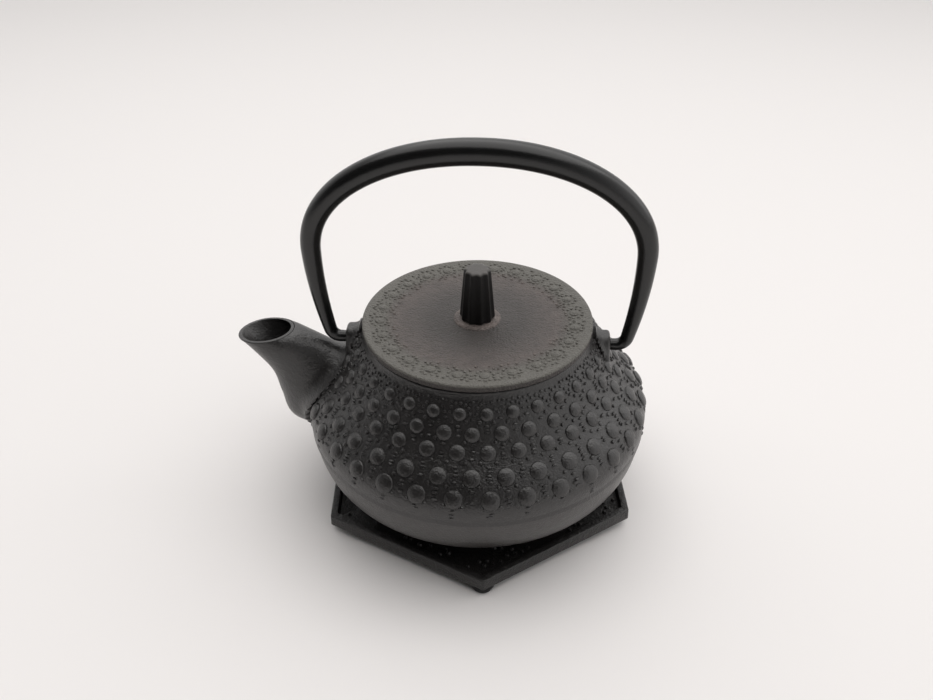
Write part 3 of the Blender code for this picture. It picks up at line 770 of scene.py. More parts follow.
def pot_outside():
    """The turned body: foot ring, bowl, ridge, the belly a little sunk between its ends, and the mouth."""
    inside = FOOT_RING_RADIUS - FOOT_RING_WIDTH
    recess_h = BOWL_BASE_H - FOOT_RECESS
    r, land = FOOT_RING_ROUND, MOUTH_LAND_ROUND
    belly = belly_curve(12)
    share = np.linspace(0, 1, len(belly)) / BELLY_SUNK_EASE
    sunk = BELLY_SUNK * np.clip(share, 0, 1) * np.clip(share[-1] - share, 0, 1)
    belly = inset_curve(belly, sunk[:, None])
    return turned([
        (NEAR_AXIS, recess_h), (inside - 0.0010, recess_h), *round_curve((inside + r, r), r, 180, 270, 5),
        *round_curve((FOOT_RING_RADIUS - r, r), r, 270, 360, 5), (FOOT_RING_RADIUS + 0.0004, BOWL_BASE_H - r),
        *bowl_curve(RIDGE_STEP, 40), *belly[:-1],
        *round_curve((MOUTH_LAND_RADIUS - land / 2, MOUTH_H - land), land, 15, 90, 5), (NEAR_AXIS, MOUTH_H),
    ], POT_AROUND)


def on_belly(bearing, along_curve, curve, length):
    """Points, ways out and level ways along for bearings in degrees and lengths along the belly's outline."""
    way = ways_along(curve)
    radius = np.interp(along_curve, length, curve[:, 0])
    height = np.interp(along_curve, length, curve[:, 1])
    out = np.interp(along_curve, length, way[:, 1])
    up = -np.interp(along_curve, length, way[:, 0])
    turn = np.radians(bearing)
    sin, cos = np.sin(turn), np.cos(turn)
    flat = np.zeros_like(turn)
    return (
        np.stack([radius * sin, -radius * cos, height], axis=-1), np.stack([out * sin, -out * cos, up], axis=-1),
        np.stack([cos, sin, flat], axis=-1),
    )


def dot_plan(places):
    """One pitch of small dots between the domes, as (bearing, length along, half width, half height, rise share).

    Between two rows a zigzag has its peaks over the lower domes and its valleys under the upper ones, with a dot
    midway on each flank, and a chain of three dashes runs down from each valley.
    """
    plan = []
    peak_share, valley_share, chain_share = 0.79, 0.42, 0.158
    for (upper_at, upper_turn), (lower_at, lower_turn) in zip(places, places[1:]):
        gap = upper_at - lower_at
        rise = LAST_ROW_RISE if lower_at == places[-1][0] else 1.0
        peak_at, valley_at = lower_at + peak_share * gap, lower_at + valley_share * gap
        plan += [(lower_turn, peak_at, *DASH_HALF_SIZES, rise), (upper_turn, valley_at, *DASH_HALF_SIZES, rise)]
        for quarter in (-PITCH / 4, PITCH / 4):
            plan.append((lower_turn + quarter, (peak_at + valley_at) / 2, *DOT_HALF_SIZES, rise))
        for k in (1, 2, 3):
            plan.append((upper_turn, valley_at - k * chain_share * gap, *DASH_HALF_SIZES, rise))
    return plan


def bead_shells(looks):
    """Domes in staggered rows, each in a cell drawn by small dots, and a loose band of dots under the mouth."""
    draw = np.random.default_rng(BUILD_SEED)
    curve = belly_curve(40)
    length = lengths_along(curve)
    base = inset_curve(curve, BELLY_SUNK)
    at_height = [float(np.interp(h, curve[:, 1], length)) for h, _, _ in BEAD_ROWS]
    number = np.arange(BEAD_COUNT)
    domes, dots = [], []
    for (_, radius, turn), along in zip(BEAD_ROWS[:-1], at_height):
        bearing = turn + PITCH * number + draw.normal(0, 0.12, BEAD_COUNT)
        place = on_belly(bearing, along + draw.normal(0, 0.00008, BEAD_COUNT), base, length)
        size = radius * (1 + draw.normal(0, 0.02, BEAD_COUNT))
        rise = np.full(BEAD_COUNT, looks.dome_height)
        domes.append((*place, size, size, rise))
    plan = dot_plan([(along, turn) for along, (_, _, turn) in zip(at_height, BEAD_ROWS)])
    top_along, top_turn = at_height[0], BEAD_ROWS[0][2]
    radius = float(np.interp(top_along, length, curve[:, 0]))
    for angle in np.radians(np.linspace(8, 172, ARC_DOTS)):
        aside = math.degrees(ARC_RADIUS * math.cos(angle) / radius)
        above = ARC_RADIUS * math.sin(angle)
        plan.append((top_turn + aside, top_along + above, *ARC_DOT_HALF_SIZES, UPPER_DOT_RISE))
    edge = float(np.interp(EDGE_DOTS_H, curve[:, 1], length))
    for k in range(EDGE_DOTS_PER_PITCH):
        aside = PITCH * (k + 0.5) / EDGE_DOTS_PER_PITCH
        plan.append((top_turn + aside, edge, *EDGE_DOT_HALF_SIZES, UPPER_DOT_RISE))
    for turn, along, half_along, half_up, share in plan:
        bearing = turn + PITCH * number + draw.normal(0, 0.22, BEAD_COUNT)
        place = on_belly(bearing, along + draw.normal(0, 0.00022, BEAD_COUNT), base, length)
        grow = 1 + draw.normal(0, 0.1, BEAD_COUNT)
        rise = share * looks.dot_height * (1 + draw.normal(0, 0.15, BEAD_COUNT))
        dots.append((*place, half_along * grow, half_up * grow, np.maximum(rise, 0.0001)))
    domes = [np.concatenate(part) for part in zip(*domes)]
    dots = [np.concatenate(part) for part in zip(*dots)]
    reach = np.concatenate([domes[3], 1.1 * dots[4]])
    keep = thinned(np.vstack([domes[0], dots[0]]), reach)[len(domes[0]) :]
    return joined(studs(*domes, sides=16, rows=4), studs(*(part[keep] for part in dots), sides=7, rows=2))


def build_pot(looks):
    """The body with its beads, spout and lugs joined on, and its room, channel and hook holes cut out."""
    added = {"pot_beads": bead_shells(looks), "pot_spout": spout_skin(looks.spout_fillet)}
    added |= {f"pot_lug_{side:+d}": lug_block(side) for side in (-1, 1)}
    removed = {"pot_room": pot_cavity(), "pot_channel": spout_channel()}
    removed |= {f"hook_hole_{side:+d}": hook_hole(side) for side in (-1, 1)}
    body = to_object("pot_casting", pot_outside(), POT_ORIGIN)
    steps = [("UNION", to_object(name, shell, POT_ORIGIN)) for name, shell in added.items()]
    steps += [("DIFFERENCE", to_object(name, shell, POT_ORIGIN)) for name, shell in removed.items()]
    combined(body, steps)
    look = grained_finish("pot iron", looks.pot_colour, 0.72, 90.0, (0.26, 0.40), 0.7, CAST_GRAIN)
    ridge = float(POT_ORIGIN[2]) + RIDGE_H
    # Painted light: below the ridge the base colour turns paler, standing for the light the bowl catches from the
    # bright floor beneath it.
    between_heights(look.node_tree, ridge, ridge - 0.0004, looks.bowl_floor_light_colour, 600)
    finish_piece(body, look, "pot", "pot_body", 28.0)


# Handle


def handle_path():
    """The bar's middle line, hook to hook, as (out, up) from the hinge: tip, bend, arm and superellipse arch."""
    face = lug_face()
    centre = np.array([face + HOOK_RADIUS + GAP, HOOK_BEND])
    turn = np.linspace(0, math.pi / 2 - HOOK_LEAN, 24)
    bend = centre + HOOK_BEND * np.stack([np.sin(turn), -np.cos(turn)], axis=-1)
    widest = np.array([face + HANDLE_HALF_SPREAD, HANDLE_WIDEST_RISE])
    arm = leg(bend[-1], (math.sin(HOOK_LEAN), math.cos(HOOK_LEAN)), widest, (0, 1), 40)
    turn = np.linspace(0, math.pi / 2, 90)
    arch = np.stack([
        widest[0] * np.cos(turn) ** (2 / HANDLE_POWER),
        HANDLE_WIDEST_RISE + (HANDLE_RISE - HANDLE_WIDEST_RISE) * np.sin(turn) ** (2 / HANDLE_POWER),
    ], axis=-1)
    tip = np.stack([np.linspace(face - HOOK_ENGAGE, centre[0], 6)[:-1], np.zeros(5)], axis=-1)
    half = np.vstack([tip, bend, arm[1:], arch[1:]])
    half[-1, 0] = 0
    return np.vstack([half, half[-2::-1] * (-1, 1)])


def handle_bar():
    """A round bar along the path, thickest at the grip and thinning with the square of the way to the hooks."""
    path = handle_path()
    way = ways_along(path)
    way[0], way[-1] = (1, 0), (1, 0)
    length = lengths_along(path)
    share = 1 - np.abs(2 * length / length[-1] - 1)
    radius = HOOK_RADIUS + (HANDLE_TOP_RADIUS - HOOK_RADIUS) * (1 - (1 - share) ** 2)
    ends = np.minimum(length, length[-1] - length)
    radius -= HOOK_TIP_ROUND * np.clip(1 - ends / HOOK_TIP_ROUND, 0, 1) ** 2
    turn = full_turn(40)
    across = np.stack([way[:, 1], -way[:, 0]], axis=-1)
    return ringed(np.stack([
        path[:, :1] + radius[:, None] * across[:, :1] * np.cos(turn),
        radius[:, None] * np.sin(turn),
        path[:, 1:] + radius[:, None] * across[:, 1:] * np.cos(turn),
    ], axis=-1))


def build_handle(looks):
    """The bail in black enamel, moved to the hinge's middle."""
    bar = to_object("handle_bar", handle_bar(), HINGE_ORIGIN)
    look = grained_finish("black enamel", looks.handle_colour, 0.8, 60.0, (0.20, 0.29), 0.55, ENAMEL_GRAIN)
    finish_piece(bar, look, "bail", "handle", 50.0)


# Lid


def lid_profile():
    """The lid's section: skirt, rounded rim, a shallow dish, and the raised ring about the knob."""
    rim_top = LID_RIM_THICKNESS
    dish = rim_top - LID_DISH
    boss_top = dish + BOSS_HEIGHT
    under = dish - LID_PLATE
    skirt_inside = SKIRT_RADIUS - SKIRT_WALL
    half = rim_top / 2
    turn = np.linspace(-math.pi / 2, math.pi / 2, 19)
    nose = np.stack([
        LID_RADIUS - LID_RIM_ROUND * (1 - np.abs(np.cos(turn)) ** LID_BLUNTNESS),
        half + half * np.sign(np.sin(turn)) * np.abs(np.sin(turn)) ** LID_BLUNTNESS,
    ], axis=-1)
    share = np.linspace(0, 1, 12)[1:]
    slope = np.stack([
        (LID_RADIUS - LID_RIM_ROUND) * (1 - LID_SLOPE_SHARE * share),
        rim_top - (LID_DISH - 0.0002) * (1 - (1 - share) ** 2),
    ], axis=-1)
    foot, edge, soft = BOSS_FOOT_ROUND, BOSS_TOP_ROUND, SKIRT_ROUND
    return [
        (RIVET_HOLE_RADIUS, under), (skirt_inside, under), (skirt_inside, -SKIRT_DEPTH + soft),
        (skirt_inside + soft, -SKIRT_DEPTH), (SKIRT_RADIUS - soft, -SKIRT_DEPTH),
        (SKIRT_RADIUS, -SKIRT_DEPTH + 1.5 * soft), (SKIRT_RADIUS, 0), *nose, *slope, (0.4 * LID_RADIUS, dish),
        *round_curve((BOSS_RADIUS + 1.5 * foot, dish + foot), foot, 270, 190, 4),
        *round_curve((BOSS_RADIUS - edge, boss_top - edge), edge, 20, 90, 4), (RIVET_HOLE_RADIUS, boss_top),
    ]


def lid_studs(looks):
    """A ring of domes near the edge, each ringed by small dots, with loose dots about them."""
    draw = np.random.default_rng(BUILD_SEED + 1)
    profile = np.array(lid_profile())
    top = profile[profile[:, 1] > LID_RIM_THICKNESS - LID_DISH - 0.00001]
    top = top[np.argsort(top[:, 0])]

    def on_lid(radius, turn):
        """Points, ways out and level ways along, tilted as the lid's section is over a small step outwards."""
        step = 0.0004
        height = np.interp(radius, top[:, 0], top[:, 1])
        tilt = (np.interp(radius + step, top[:, 0], top[:, 1]) - height) / step
        sin, cos = np.sin(turn), np.cos(turn)
        normal = np.stack([-tilt * sin, tilt * cos, np.ones_like(turn)], axis=-1)
        normal /= np.linalg.norm(normal, axis=1, keepdims=True)
        along = np.stack([cos, sin, np.zeros_like(turn)], axis=-1)
        return np.stack([radius * sin, -radius * cos, height], axis=-1), normal, along

    count, loose = LID_FLOWERS, LID_LOOSE_DOTS
    turn = np.radians(LID_FLOWER_START + 360 / count * np.arange(count) + draw.normal(0, 0.25, count))
    radius = np.full(count, LID_FLOWER_RADIUS)
    size = LID_DOME_RADIUS * (1 + draw.normal(0, 0.04, count))
    domes = (*on_lid(radius, turn), size, size, np.full(count, looks.lid_dome_height))
    around = full_turn(LID_PETALS)
    out = (radius[:, None] + LID_PETAL_REACH * np.cos(around)).ravel()
    side = (turn[:, None] + LID_PETAL_REACH * np.sin(around) / radius[:, None]).ravel()
    out = np.append(
        out + draw.normal(0, 0.00012, len(out)), draw.uniform(LID_DOTS_INSIDE, LID_DOTS_OUTSIDE, loose)
    )
    side = np.append(side + draw.normal(0, 0.003, len(side)), draw.uniform(0, 2 * math.pi, loose))
    reach = np.abs(LID_DOT_RADIUS * (1 + draw.normal(0, 0.14, len(out))))
    rise = LID_DOT_RISE * (1 + draw.normal(0, 0.15, len(out)))
    keep = out < LID_DOTS_LIMIT
    dots = [part[keep] for part in (*on_lid(out, side), reach, reach, rise)]
    keep = thinned(np.vstack([domes[0], dots[0]]), np.concatenate([size, dots[3]]))[count:]
    return joined(studs(*domes, sides=18, rows=4), studs(*(part[keep] for part in dots), sides=8, rows=2))


def band_share(tree):
    """A share that goes from 0 to 1 with the distance from the lid's axis, where its band of beads starts."""
    where = node_at(tree, "ShaderNodeTexCoord", -1500, 500)
    shift = node_at(tree, "ShaderNodeMapping", -1300, 500, Location=(-LID_ORIGIN[0], 0.0, 0.0))
    flat = node_at(tree, "ShaderNodeMapping", -1100, 500, Scale=(1.0, 1.0, 0.0))
    reach = node_at(tree, "ShaderNodeVectorMath", -900, 500)
    reach.operation = "LENGTH"
    share = node_at(tree, "ShaderNodeMapRange", -700, 500, From_Min=LID_BAND_START, From_Max=LID_BAND_END)
    tree.links.new(where.outputs["Object"], shift.inputs["Vector"])
    tree.links.new(shift.outputs["Vector"], flat.inputs["Vector"])
    tree.links.new(flat.outputs["Vector"], reach.inputs[0])
    tree.links.new(reach.outputs["Value"], share.inputs["Value"])
    return share.outputs["Result"]


def build_lid(looks):
    """The lid's section turned once round, with its flowers joined on."""
    lid = to_object("lid_casting", turned(lid_profile(), 192, closed_rows=True), LID_ORIGIN)
    combined(lid, [("UNION", to_object("lid_beads", lid_studs(looks), LID_ORIGIN))])
    # Partly painted light: the lid's top is far paler than the pot's iron, partly for its browner iron and partly
    # as painted light from above.
    look = grained_finish("lid iron", looks.lid_iron_and_top_light_colour, 0.55, 260.0, (0.45, 0.62), 0.4, LID_GRAIN)
    blended(look.node_tree, band_share(look.node_tree), looks.lid_band_colour, 400)
    # Painted shade: the rim's side, the skirt and the underside turn darker, for the shade below the rim's top
    # edge.
    edge = float(LID_ORIGIN[2]) + LID_RIM_THICKNESS - 0.0006
    between_heights(look.node_tree, edge, edge - 0.0004, looks.lid_side_shade_colour, 600)
    finish_piece(lid, look, "cover", "lid", 28.0)


def knob_radius(height, turn):
    """A taper, less flutes that follow the half-waves of a sine, and less a quarter circle at the top edge."""
    taper = KNOB_BASE_RADIUS + (KNOB_TOP_RADIUS - KNOB_BASE_RADIUS) * height / KNOB_HEIGHT
    flute = KNOB_FLUTE_DEPTH * np.abs(np.sin(KNOB_FLUTES * (turn + KNOB_TURN) / 2)) ** KNOB_FLUTE_POWER
    drop = np.clip((height - (KNOB_HEIGHT - KNOB_TOP_ROUND)) / KNOB_TOP_ROUND, 0, 1)
    foot = 0.0004 * np.clip(1 - height / 0.0006, 0, 1) ** 2
    return taper - flute - foot - KNOB_TOP_ROUND * (1 - np.sqrt(1 - drop**2))


def knob_shape():
    """Fluted rings from the bore in the foot up to a top that dips very slightly towards its middle."""
    around = KNOB_FLUTES * 20
    turn = full_turn(around)
    shoulder = KNOB_HEIGHT - KNOB_TOP_ROUND
    arc = np.sin(np.linspace(0, math.pi / 2, 8)) * KNOB_TOP_ROUND
    heights = np.concatenate([[0, 0.0002, 0.0004], np.linspace(0.0006, shoulder, 24), shoulder + arc[1:]])
    sides = knob_radius(heights[:, None], turn)
    shares = np.array([0.75, 0.5, 0.25])[:, None]
    radii = np.vstack([np.full((2, around), RIVET_HOLE_RADIUS), sides, shares * sides[-1]])
    levels = np.concatenate([[RIVET_IN_KNOB + GAP, 0], heights, np.full(3, KNOB_HEIGHT)])
    return ringed(np.stack([
        radii * np.cos(turn), radii * np.sin(turn), np.repeat(levels[:, None], around, axis=1),
    ], axis=-1))


def build_knob(looks):
    """The fluted knob, painted paler over its top."""
    knob = to_object("knob_casting", knob_shape(), KNOB_ORIGIN)
    look = grained_finish("knob iron", looks.knob_colour, 0.8, 120.0, (0.34, 0.5), 0.25, KNOB_GRAIN)
    top = float(KNOB_ORIGIN[2] + KNOB_HEIGHT)
    # The knob's top is blended into a paler colour over its last 0.8 mm.
    between_heights(look.node_tree, top - KNOB_PALE_TOP_DEPTH, top - 0.0001, looks.knob_top_colour, 480)
    finish_piece(knob, look, "cover", "lid_knob", 35.0)


def build_fixings(looks):
    """The washer and the rivet that hold the knob, turned from their sections."""
    under = LID_RIM_THICKNESS - LID_DISH - LID_PLATE
    top = under - GAP
    low = top - WASHER_THICKNESS
    r = FIXING_ROUND
    washer = [
        (RIVET_HOLE_RADIUS, low), (WASHER_RADIUS - r, low), (WASHER_RADIUS, low + r), (WASHER_RADIUS, top - r),
        (WASHER_RADIUS - r, top), (RIVET_HOLE_RADIUS, top),
    ]
    head_top = low - GAP
    tip = LID_RIM_THICKNESS - LID_DISH + BOSS_HEIGHT + RIVET_IN_KNOB
    turn = np.linspace(math.pi / 2, 0, 10)[1:]
    dome = np.stack([RIVET_HEAD_RADIUS * np.cos(turn), head_top - RIVET_HEAD_HEIGHT * np.sin(turn)], axis=-1)
    rivet = [
        (NEAR_AXIS, head_top - RIVET_HEAD_HEIGHT), *dome, (RIVET_RADIUS, head_top), (RIVET_RADIUS, tip - r),
        (RIVET_RADIUS - r, tip), (NEAR_AXIS, tip),
    ]
    look = brushed_finish("fixing steel", looks.steel_colour, (1.0, 1.0, 8.0))
    disc = to_object("washer_disc", turned(washer, 96, closed_rows=True), LID_ORIGIN)
    pin = to_object("rivet_pin", turned(rivet, 64), LID_ORIGIN)
    finish_piece(disc, look, "cover", "knob_washer", 30.0)
    finish_piece(pin, look, "cover", "knob_rivet", 30.0)


# Infuser


def holes_round(radius, low, high, pitch, hole_radius):
    """Six-sided pegs that point outwards, in staggered rows about a cylinder."""
    count = round(2 * math.pi * radius / pitch)
    rows = np.arange(low, high, pitch * math.sqrt(3) / 2)
    turn = 2 * math.pi / count * (np.arange(count)[None] + 0.5 * (np.arange(len(rows)) % 2)[:, None])
    turn, height = turn.ravel(), np.repeat(rows, count)
    out = np.stack([np.cos(turn), np.sin(turn), np.zeros_like(turn)], axis=-1)
    along = np.stack([-np.sin(turn), np.cos(turn), np.zeros_like(turn)], axis=-1)
    middle = radius * out + height[:, None] * (0, 0, 1)
    return pegs(middle, out, along, hole_radius)


def holes_across(reach, pitch, hole_radius, height):
    """Upright six-sided pegs on a triangular grid, inside a circle."""
    steps = int(reach / pitch) + 2
    i, j = np.meshgrid(np.arange(-steps, steps + 1), np.arange(-steps, steps + 1))
    x, y = pitch * (i + 0.5 * (j % 2)).ravel(), (pitch * math.sqrt(3) / 2 * j).ravel()
    inside = np.hypot(x, y) < reach
    middle = np.stack([x[inside], y[inside], np.full(inside.sum(), height)], axis=-1)
    up, along = np.zeros_like(middle) + (0, 0, 1), np.zeros_like(middle) + (1, 0, 0)
    return pegs(middle, up, along, hole_radius)


def pegs(middle, axis, along, radius, half_length=0.0012):
    """One shell of many six-sided prisms, each centred on its middle."""
    turn = full_turn(6)
    x, y = radius * np.cos(turn), radius * np.sin(turn)
    points, quads, fans = ringed([np.stack([x, y, np.full(6, z)], axis=-1) for z in (-half_length, half_length)])
    across = np.cross(axis, along)
    placed = middle[:, None] + sum(points[:, k : k + 1] * v[:, None] for k, v in enumerate((along, across, axis)))
    shift = (np.arange(len(middle)) * len(points))[:, None, None]
    return placed.reshape(-1, 3), (quads + shift).reshape(-1, 4), (fans + shift).reshape(-1, 3)


def build_infuser(looks):
    """The basket's flange, pierced wall, base band and pierced floor, turned from z = 0 under the flange."""
    collar_in = BASKET_RADIUS + GAP
    collar_out = collar_in + SHEET
    flange = MOUTH_BORE + REBATE_WIDTH - COLLAR_CLEARANCE
    half = RIM_THICKNESS / 2
    outer, inner = COLLAR_ROUND, FLANGE_INNER_ROUND
    rim = [
        (collar_in, -COLLAR_DEPTH), (collar_out, -COLLAR_DEPTH),
        *round_curve((collar_out + outer, -outer), outer, 180, 90, 4),
        *round_curve((flange - half, half), half, 270, 450, 9),
        *round_curve((collar_in + inner, RIM_THICKNESS - inner), inner, 90, 180, 4),
    ]
    plain = brushed_finish("basket steel", looks.steel_colour, (1.0, 1.0, 12.0))
    sheet = brushed_finish("sieve steel", darker(looks.steel_colour, 0.94), (1.0, 1.0, 6.0))
    made = to_object("basket_flange", turned(rim, 144, closed_rows=True), INFUSER_ORIGIN)
    finish_piece(made, plain, "infuser", "infuser_rim", 40.0)

    base = RIM_THICKNESS - BASKET_DEPTH
    inside = BASKET_RADIUS - SHEET
    top = RIM_THICKNESS - GAP
    wall = [(inside, base), (BASKET_RADIUS, base), (BASKET_RADIUS, top), (inside, top)]
    made = to_object("basket_sieve", turned(wall, 180, closed_rows=True), INFUSER_ORIGIN)
    low, high = base + WALL_PLAIN_FOOT, -COLLAR_DEPTH - WALL_PLAIN_TOP
    cutter = holes_round(BASKET_RADIUS - SHEET / 2, low, high, looks.hole_pitch, looks.hole_radius)
    combined(made, [("DIFFERENCE", to_object("sieve_pegs", cutter, INFUSER_ORIGIN))])
    finish_piece(made, sheet, "infuser", "infuser_wall", 30.0)

    lip, shelf = inside - BASE_RING_LIP, base - GAP
    r, band_top = BASE_RING_ROUND, shelf + BASE_RING_UPSTAND
    ring = [
        (lip, shelf - SHEET), *round_curve((collar_out - r, shelf - SHEET + r), r, 270, 360, 5),
        (collar_out, band_top), (collar_in, band_top), (collar_in, shelf), (lip, shelf),
    ]
    made = to_object("basket_band", turned(ring, 144, closed_rows=True), INFUSER_ORIGIN)
    finish_piece(made, plain, "infuser", "infuser_base_ring", 40.0)

    disc_radius = inside - GAP
    disc = [(NEAR_AXIS, base), (disc_radius, base), (disc_radius, base + SHEET), (NEAR_AXIS, base + SHEET)]
    made = to_object("basket_floor", turned(disc, 120), INFUSER_ORIGIN)
    cutter = holes_across(disc_radius - FLOOR_PLAIN_EDGE, looks.hole_pitch, looks.hole_radius, base + SHEET / 2)
    combined(made, [("DIFFERENCE", to_object("floor_pegs", cutter, INFUSER_ORIGIN))])
    finish_piece(made, sheet, "infuser", "infuser_base_mesh", 30.0)


# Trivet


def hexagon_ring(inset, height, corner):
    """A hexagon set in from the outer one, each corner an arc of the given radius."""
    half = TRIVET_HALF_FLATS - inset
    steps = 9
    middle = np.repeat(-math.pi / 2 + TRIVET_TURN + full_turn(6), steps)
    turn = middle + np.tile(np.linspace(-math.pi / 6, math.pi / 6, steps), 6)
    reach = (half - corner) / math.cos(math.pi / 6)
    return np.stack([
        reach * np.cos(middle) + corner * np.cos(turn), reach * np.sin(middle) + corner * np.sin(turn),
        np.full_like(turn, height),
    ], axis=-1)


def trivet_shape():
    """Hexagon rings: rounded underside edge, upright side, narrow rim and a step down to the floor."""
    top, sunk = TRIVET_THICKNESS, TRIVET_THICKNESS - TRIVET_RECESS
    outer, inner, low = TRIVET_CORNER_ROUND, TRIVET_INNER_CORNER_ROUND, TRIVET_FLOOR_CORNER_ROUND
    r, q, draft = TRIVET_EDGE_ROUND, TRIVET_RIM_ROUND, 0.0002
    plan = []
    soft = [(math.sin(t), math.cos(t)) for t in np.linspace(0, math.pi / 2, 5)]
    plan += [(r * (1 - sin), r * (1 - cos), outer) for sin, cos in soft]
    plan += [(draft + r * (1 - cos), top - r * (1 - sin), outer) for sin, cos in soft]
    plan += [(TRIVET_RIM - q * (1 - sin), top - q * (1 - cos), inner) for sin, cos in soft]
    plan += [(TRIVET_RIM + 0.0005, sunk + 0.0001, low), (TRIVET_RIM + 0.0008, sunk, low)]
    return ringed([hexagon_ring(*place) for place in plan])


def trivet_dots(looks):
    """Loose patches of small caps on the sunk floor outside the pot's foot, where waves of sines are high."""
    draw = np.random.default_rng(BUILD_SEED + 2)
    count = TRIVET_DOT_TRIES
    radius = TRIVET_DOT_REACH * np.sqrt(draw.uniform(0, 1, count))
    turn = draw.uniform(0, 2 * math.pi, count)
    x, y = radius * np.cos(turn), radius * np.sin(turn)
    faces = -math.pi / 2 + TRIVET_TURN + math.pi / 6 + full_turn(6)
    towards_face = (x[:, None] * np.cos(faces) + y[:, None] * np.sin(faces)).max(axis=1)
    inside = towards_face < TRIVET_HALF_FLATS - TRIVET_RIM - TRIVET_DOT_MARGIN
    patches = np.sin(x * 190 + 1.3) * np.cos(y * 170 - 0.4) + 0.5 * np.sin((x - y) * 310) > -0.15
    keep = inside & patches & (radius > TRIVET_DOT_START)
    at = np.stack([x, y, np.full(count, TRIVET_THICKNESS - TRIVET_RECESS)], axis=-1)[keep]
    size = TRIVET_DOT_RADIUS * (1 + draw.normal(0, 0.15, len(at)))
    chosen = thinned(at, 1.25 * size)
    at, size = at[chosen], size[chosen]
    up, along = np.zeros_like(at) + (0, 0, 1), np.zeros_like(at) + (1, 0, 0)
    return studs(at, up, along, size, size, np.full(len(at), 1.5 * looks.dot_height), sides=10, rows=3)


def build_trivet(looks):
    """The six-sided plate with its loose caps joined on."""
    plate = to_object("trivet_plate", trivet_shape(), TRIVET_ORIGIN)
    combined(plate, [("UNION", to_object("trivet_caps", trivet_dots(looks), TRIVET_ORIGIN))])
    look = grained_finish("trivet iron", looks.trivet_colour, 0.75, 110.0, (0.28, 0.42), 0.5, TRIVET_GRAIN)
    finish_piece(plate, look, "stand", "trivet", 30.0)


def build_feet(looks):
    """Three rubber pads: a short cone with a rounded foot."""
    top, r = FOOT_HEIGHT - GAP, FOOT_ROUND
    shape = [
        (NEAR_AXIS, 0), *round_curve((FOOT_BASE_RADIUS - r, r), r, 270, 350, 5), (FOOT_RADIUS, 0.6 * top),
        (FOOT_RADIUS, top - r / 2), (FOOT_RADIUS - r / 2, top), (NEAR_AXIS, top),
    ]
    look, _, shader = finish_of("rubber", 0.8, specular=0.3)
    shader.inputs["Base Color"].default_value = (*looks.rubber_colour, 1.0)
    for number in (1, 2, 3):
        node = f"trivet_foot_{number}"
        low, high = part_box(node)
        middle = (low + high) / 2
        pad = to_object(f"rubber_pad_{number}", turned(shape, 64), (middle.x, middle.y, low.z))
        finish_piece(pad, look, "stand", node, 40.0)


# Stage


def area_light(name, where, aim_h, size, power, colour):
    """A rectangle of light at a place, turned towards a height on the world's upright axis."""
    light = bpy.data.lights.new(name, "AREA")
    light.shape = "RECTANGLE"
    light.size, light.size_y = size
    light.energy = power
    light.color = colour
    obj = bpy.data.objects.new(name, light)
    obj.location = where
    obj.rotation_euler = (Vector((0.0, 0.0, aim_h)) - Vector(where)).to_track_quat("-Z", "Y").to_euler()
    bpy.context.scene.collection.objects.link(obj)


def build_floor(looks):
    """One large pale square just under the pads."""
    corners = FLOOR_REACH * np.array([(-1, -1, 0), (1, -1, 0), (1, 1, 0), (-1, 1, 0)], float)
    floor = to_object("floor", (corners, np.array([[0, 1, 2, 3]]), np.empty((0, 3), int)), (0, 0, -FLOOR_DROP))
    look, _, shader = finish_of("pale floor", 0.85, specular=0.2)
    shader.inputs["Base Color"].default_value = (*looks.floor_colour, 1.0)
    floor.data.materials.append(look)


def build_light(looks):
    """A sky whose tone follows the cosine from its unlit side, a large light above and a weak one each side."""
    world = bpy.data.worlds.new("studio")
    world.use_nodes = True
    tree = world.node_tree
    sky = tree.nodes["Background"]
    sky.inputs["Strength"].default_value = looks.sky_strength
    where = node_at(tree, "ShaderNodeTexCoord", -900, 0)
    towards = node_at(tree, "ShaderNodeVectorMath", -700, 0)
    towards.operation = "DOT_PRODUCT"
    towards.inputs[1].default_value = DARK_SIDE
    ramp = tone_ramp(tree, -450, 0, SKY_TONES)
    tree.links.new(where.outputs["Generated"], towards.inputs[0])
    tree.links.new(towards.outputs["Value"], ramp.inputs["Fac"])
    tree.links.new(ramp.outputs["Color"], sky.inputs["Color"])
    bpy.context.scene.world = world
    side_colour = (1.0, 0.985, 0.978)
    area_light("light over", (0.05, 0.10, 1.20), 0.05, (1.8, 1.5), looks.over_power, (1.0, 0.98, 0.965))
    area_light("light left", (-1.1, 0.15, 0.75), 0.06, (0.6, 0.9), looks.left_power, side_colour)
    area_light("light right", (1.1, 0.35, 0.65), 0.06, (0.5, 0.9), looks.right_power, side_colour)


def build_camera():
    """The camera stands back from its target along a bearing and a rise, rolled about its own axis."""
    scene = bpy.context.scene
    bearing, rise, roll = CAMERA_BEARING, CAMERA_ELEVATION, CAMERA_ROLL
    back = Vector((math.sin(bearing) * math.cos(rise), -math.cos(bearing) * math.cos(rise), math.sin(rise)))
    right = (-back).cross(Vector((0, 0, 1))).normalized()
    up = right.cross(-back)
    level = right * math.cos(roll) + up * math.sin(roll)
    upright = -right * math.sin(roll) + up * math.cos(roll)
    data = bpy.data.cameras.new("camera")
    data.lens = CAMERA_LENS
    data.sensor_width = 36.0
    data.clip_start = 0.01
    camera = bpy.data.objects.new("camera", data)
    axes = Matrix((level, upright, back)).transposed().to_4x4()
    camera.matrix_world = Matrix.Translation(CAMERA_TARGET + back * CAMERA_DISTANCE) @ axes
    scene.collection.objects.link(camera)
    scene.camera = camera
    scene.view_settings.view_transform = "Standard"


# Settings, operators and panel


def length(name, description, default):
    """A setting in metres."""
    return FloatProperty(
        name=name, description=description, default=default, unit="LENGTH", precision=5, min=0.00005,
        soft_max=0.02,
    )


